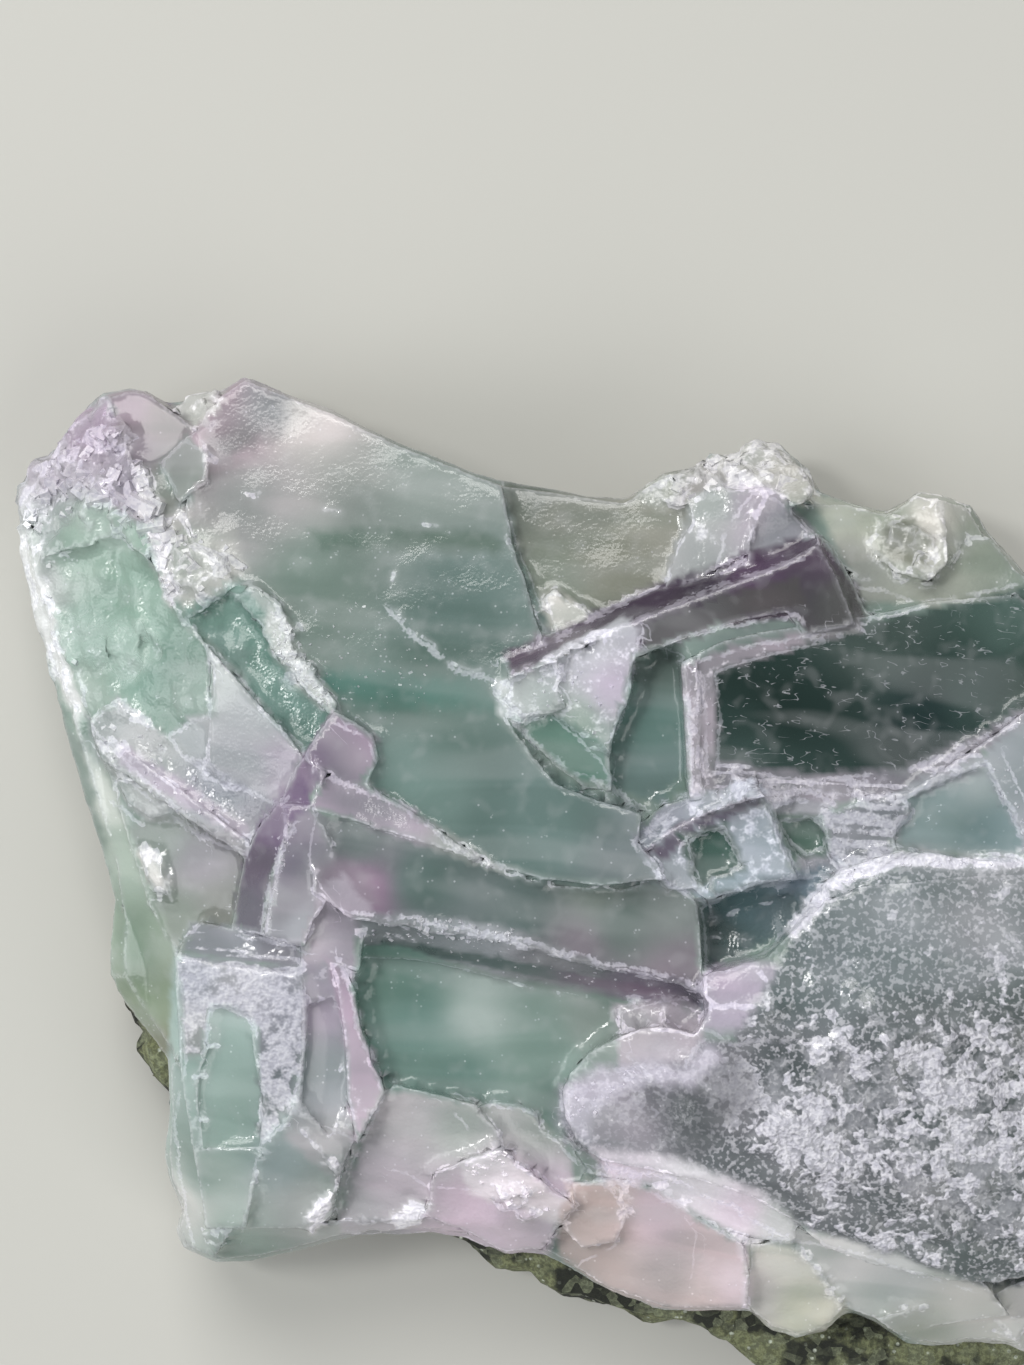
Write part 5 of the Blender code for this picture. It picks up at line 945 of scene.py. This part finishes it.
# Small cubes that grew or broke on the crystals: how many, the largest in millimetres, and their ground.
druse = {
    "shoulder": (90, 1.9, [(2, 53), (3.6, 46.8), (8.8, 41.4), (11, 40.4), (15.4, 50), (15.6, 53.6),
      (8.4, 51.4)]),
    "left edge": (20, 0.9, [(2.2, 54), (4.6, 55), (8.8, 71), (7.4, 72), (3.6, 61)]),
    "splinters": (44, 1.3, [(13.4, 47), (14.6, 46.8), (18.2, 58), (17.4, 61), (15.2, 56.4)]),
    "heap": (20, 1.6, [(16.8, 53), (21, 52), (24.4, 57.4), (20, 60.6)]),
    "crushed line": (130, 0.6, [(27, 61), (28.8, 62), (33.4, 70), (32.4, 71), (27.6, 65.4)]),
    "crown": (14, 2, [(66, 47.6), (77.2, 43.8), (81.6, 47.6), (81.8, 49.8), (76.6, 48.8), (68, 50.6)]),
    "dark ledge": (40, 0.4, [(71.6, 77), (83, 77.8), (90, 77.6), (89, 79.4), (76, 80.2), (71.6, 79.4)]),
    "rail": (40, 0.4, [(68.3, 66.6), (71.2, 66.4), (71.4, 79), (69.2, 79.2)]),
    "seam": (90, 0.6, [(41, 91.6), (51.4, 92.8), (51, 94.6), (42, 93.6)]),
    "long seam": (70, 0.4, [(36, 91.6), (70.2, 98.6), (70.2, 100.4), (36, 94)]),
    "break": (50, 0.5, [(50.4, 69), (62.8, 63), (60.4, 75), (57, 72.6), (52, 72.2)]),
    "sill": (110, 0.45, [(80.4, 91), (84.4, 87), (95, 85.8), (112.6, 86), (112.6, 86.8), (90, 86.8)]),
    "dome rim": (60, 0.45, [(56.4, 112), (57.6, 109), (63, 106.6), (68, 107.2), (63, 108.6), (58.8, 112)]),
    "small cubes": (20, 0.4, [(64, 84), (76, 78.6), (79.8, 87.8), (70.8, 89.8), (66, 88)]),
    "white cube": (36, 0.5, [(82.4, 81.8), (90.4, 79.4), (89.4, 85.2), (84.2, 86.6)]),
    "slope": (70, 0.6, [(9.6, 72.2), (16.4, 74), (24.6, 83.6), (17, 81.4), (11, 78)]),
    "prow": (50, 0.6, [(46, 116.6), (50, 115), (57, 120.6), (52, 121.4)]),
    "violet seam": (40, 0.4, [(27.8, 83.4), (29.6, 82.8), (27.2, 92), (26.2, 92)]),
    "plate beside the crushed line": (110, 0.3, [(29, 61), (36, 60), (44, 67), (40, 73), (34, 70)]),
    "pale frame": (34, 0.4, [(98.6, 75.8), (100.4, 75.4), (104.2, 84.8), (102.6, 85)]),
}


druseLook = {
    "seed": 8,
    "lowest": 0.012,  # no cube stands below this height
    "sizes": (0.35, 1.6),  # the smallest share of the largest size, and how rare large ones are
    "sunk": 0.30,  # how deep a cube sits and how far it may stand up, in its own sides
    "reach": 0.7,
    "turn": (0.1, -0.06, math.radians(-16)),  # the usual turn and how much it varies
    "spread": (0.5, 0.5, 0.6),
    "stretch": ((0.4, 1.7), (0.5, 1.1), (0.5, 0.9)),
    "seeThrough": 0.35,
    "grain": 0.5,
    "bump": 0.0001,
}


def makeDruse(ground):
    look = druseLook
    rng = random.Random(look["seed"])
    surface = ground.data
    tree = BVHTree.FromPolygons([v.co for v in surface.vertices], [p.vertices for p in surface.polygons])
    bm = bmesh.new()
    eye = toFrame(ruler["eyeAcross"], ruler["eyeDown"], ruler["eyeHeight"])
    smallest, rarity = look["sizes"]
    for count, largest, outline in druse.values():
        low = np.min(outline, axis=0)
        high = np.max(outline, axis=0)
        placed = 0
        while placed < count:
            spot = np.array([[rng.uniform(low[0], high[0]), rng.uniform(low[1], high[1])]])
            if insideDistance(spot, outline)[0] < 0:
                continue
            placed += 1
            aim = toFrame(spot[0][0], spot[0][1], 20.0) - eye
            hit, normal = tree.ray_cast(eye, aim.normalized())[:2]
            if hit is None or hit.z < look["lowest"]:
                continue
            side = largest * rng.uniform(smallest, 1.0) ** rarity / 1000
            if hit.z + side * look["reach"] > cadBox[1][2]:
                continue
            tilt = Euler([rng.gauss(*pair) for pair in zip(look["turn"], look["spread"])])
            shape = Matrix.Diagonal([rng.uniform(*limits) for limits in look["stretch"]] + [1.0])
            place = Matrix.Translation(hit - normal * side * look["sunk"]) @ tilt.to_matrix().to_4x4() @ shape
            bmesh.ops.create_cube(bm, size=side, matrix=place)
    mesh = meshFrom(bm, "fluorite_druse")
    points = coordinates(mesh)
    placePoints(mesh, points)
    addTint(mesh, paint(toRuler(points))[0])
    piece = addObject("fluorite_druse", mesh)
    mesh.materials.append(druseMaterial())
    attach(piece, "root")
    print("druse", len(mesh.polygons), "faces")


def druseMaterial():
    look = druseLook
    m = Recipe("small fluorite cubes")
    tint = m.attribute("tint", "Color")
    grain = m.noise(look["grain"], detail=1)
    # the cubes are made paler than the crystals under them: partly their frosted white, partly painted
    # highlights of their glassy broken faces
    pale = m.mix(0.45, m.times(tint, (1.7, 1.7, 1.7)), (0.90, 0.89, 0.93))
    return m.finish(m.shader({
        "Base Color": m.mix(grain.step(0.35, 0.6), m.times(pale, (0.8, 0.8, 0.84)), pale),
        "Roughness": 0.08 + grain * 0.2,
        "IOR": crystalLook["ior"],
        "Transmission Weight": look["seeThrough"],
        "Normal": m.bump(grain, look["bump"], 0.5),
    }))


stageLook = {
    "floorSize": 1.6,
    "floorColour": shade(182, 182, 176),
    "world": (0.90, 0.92, 0.95),
    "worldStrength": 0.33,
    "aim": (0.0, 0.0, 0.02),
    "roughness": 0.85,
    # name: place, width, height, watts, colour
    "lamps": {
        "window": ((-0.30, 0.90, 1.00), 0.9, 0.7, 12.5, (1.0, 0.98, 0.96)),
        "sheen": ((-0.62, 0.24, 1.00), 0.20, 0.20, 4.4, (1.0, 0.99, 0.98)),
        "side": ((-0.90, -0.10, 0.60), 0.5, 0.7, 3.6, (0.97, 0.98, 1.0)),
        "fill": ((0.60, -0.70, 0.90), 0.8, 0.8, 4.7, (1.0, 0.99, 0.98)),
    },
}


def makeStage():
    look = stageLook
    bm = bmesh.new()
    bmesh.ops.create_grid(bm, x_segments=1, y_segments=1, size=look["floorSize"])
    mesh = meshFrom(bm, "floor")
    floor = addObject("floor", mesh)
    m = Recipe("pale floor")
    plain = m.shader({"Base Color": (*look["floorColour"], 1.0), "Roughness": look["roughness"]})
    mesh.materials.append(m.finish(plain))
    for name, (place, width, height, watts, colour) in look["lamps"].items():
        lamp = bpy.data.lights.new(name, "AREA")
        lamp.shape = "RECTANGLE"
        lamp.size = width
        lamp.size_y = height
        lamp.energy = watts
        lamp.color = colour
        holder = addObject(name, lamp)
        holder.location = place
        holder.rotation_euler = (Vector(look["aim"]) - Vector(place)).to_track_quat("-Z", "Y").to_euler()
    world = bpy.data.worlds.new("studio")
    world.use_nodes = True
    background = world.node_tree.nodes["Background"]
    background.inputs["Color"].default_value = (*look["world"], 1.0)
    background.inputs["Strength"].default_value = look["worldStrength"]
    bpy.context.scene.world = world
    bpy.context.scene.view_settings.view_transform = "Standard"
    print("stage and lamps")


cameraLook = {
    "sensor": 36.0,
    "seen": 136.5,  # how many millimetres of the ruler fill the height of the frame
    "nearest": 0.01,
}


def makeCamera():
    look = cameraLook
    camera = bpy.data.cameras.new("camera")
    camera.sensor_fit = "VERTICAL"
    camera.sensor_height = look["sensor"]
    camera.lens = look["sensor"] * (ruler["eyeHeight"] - ruler["height"]) / look["seen"]
    camera.clip_start = look["nearest"]
    holder = addObject("camera", camera)
    holder.location = toFrame(ruler["eyeAcross"], ruler["eyeDown"], ruler["eyeHeight"])
    bpy.context.scene.camera = holder


makeCamera()
makeStage()
crystals = makeFluorite()
makeRock()
makeDruse(crystals)
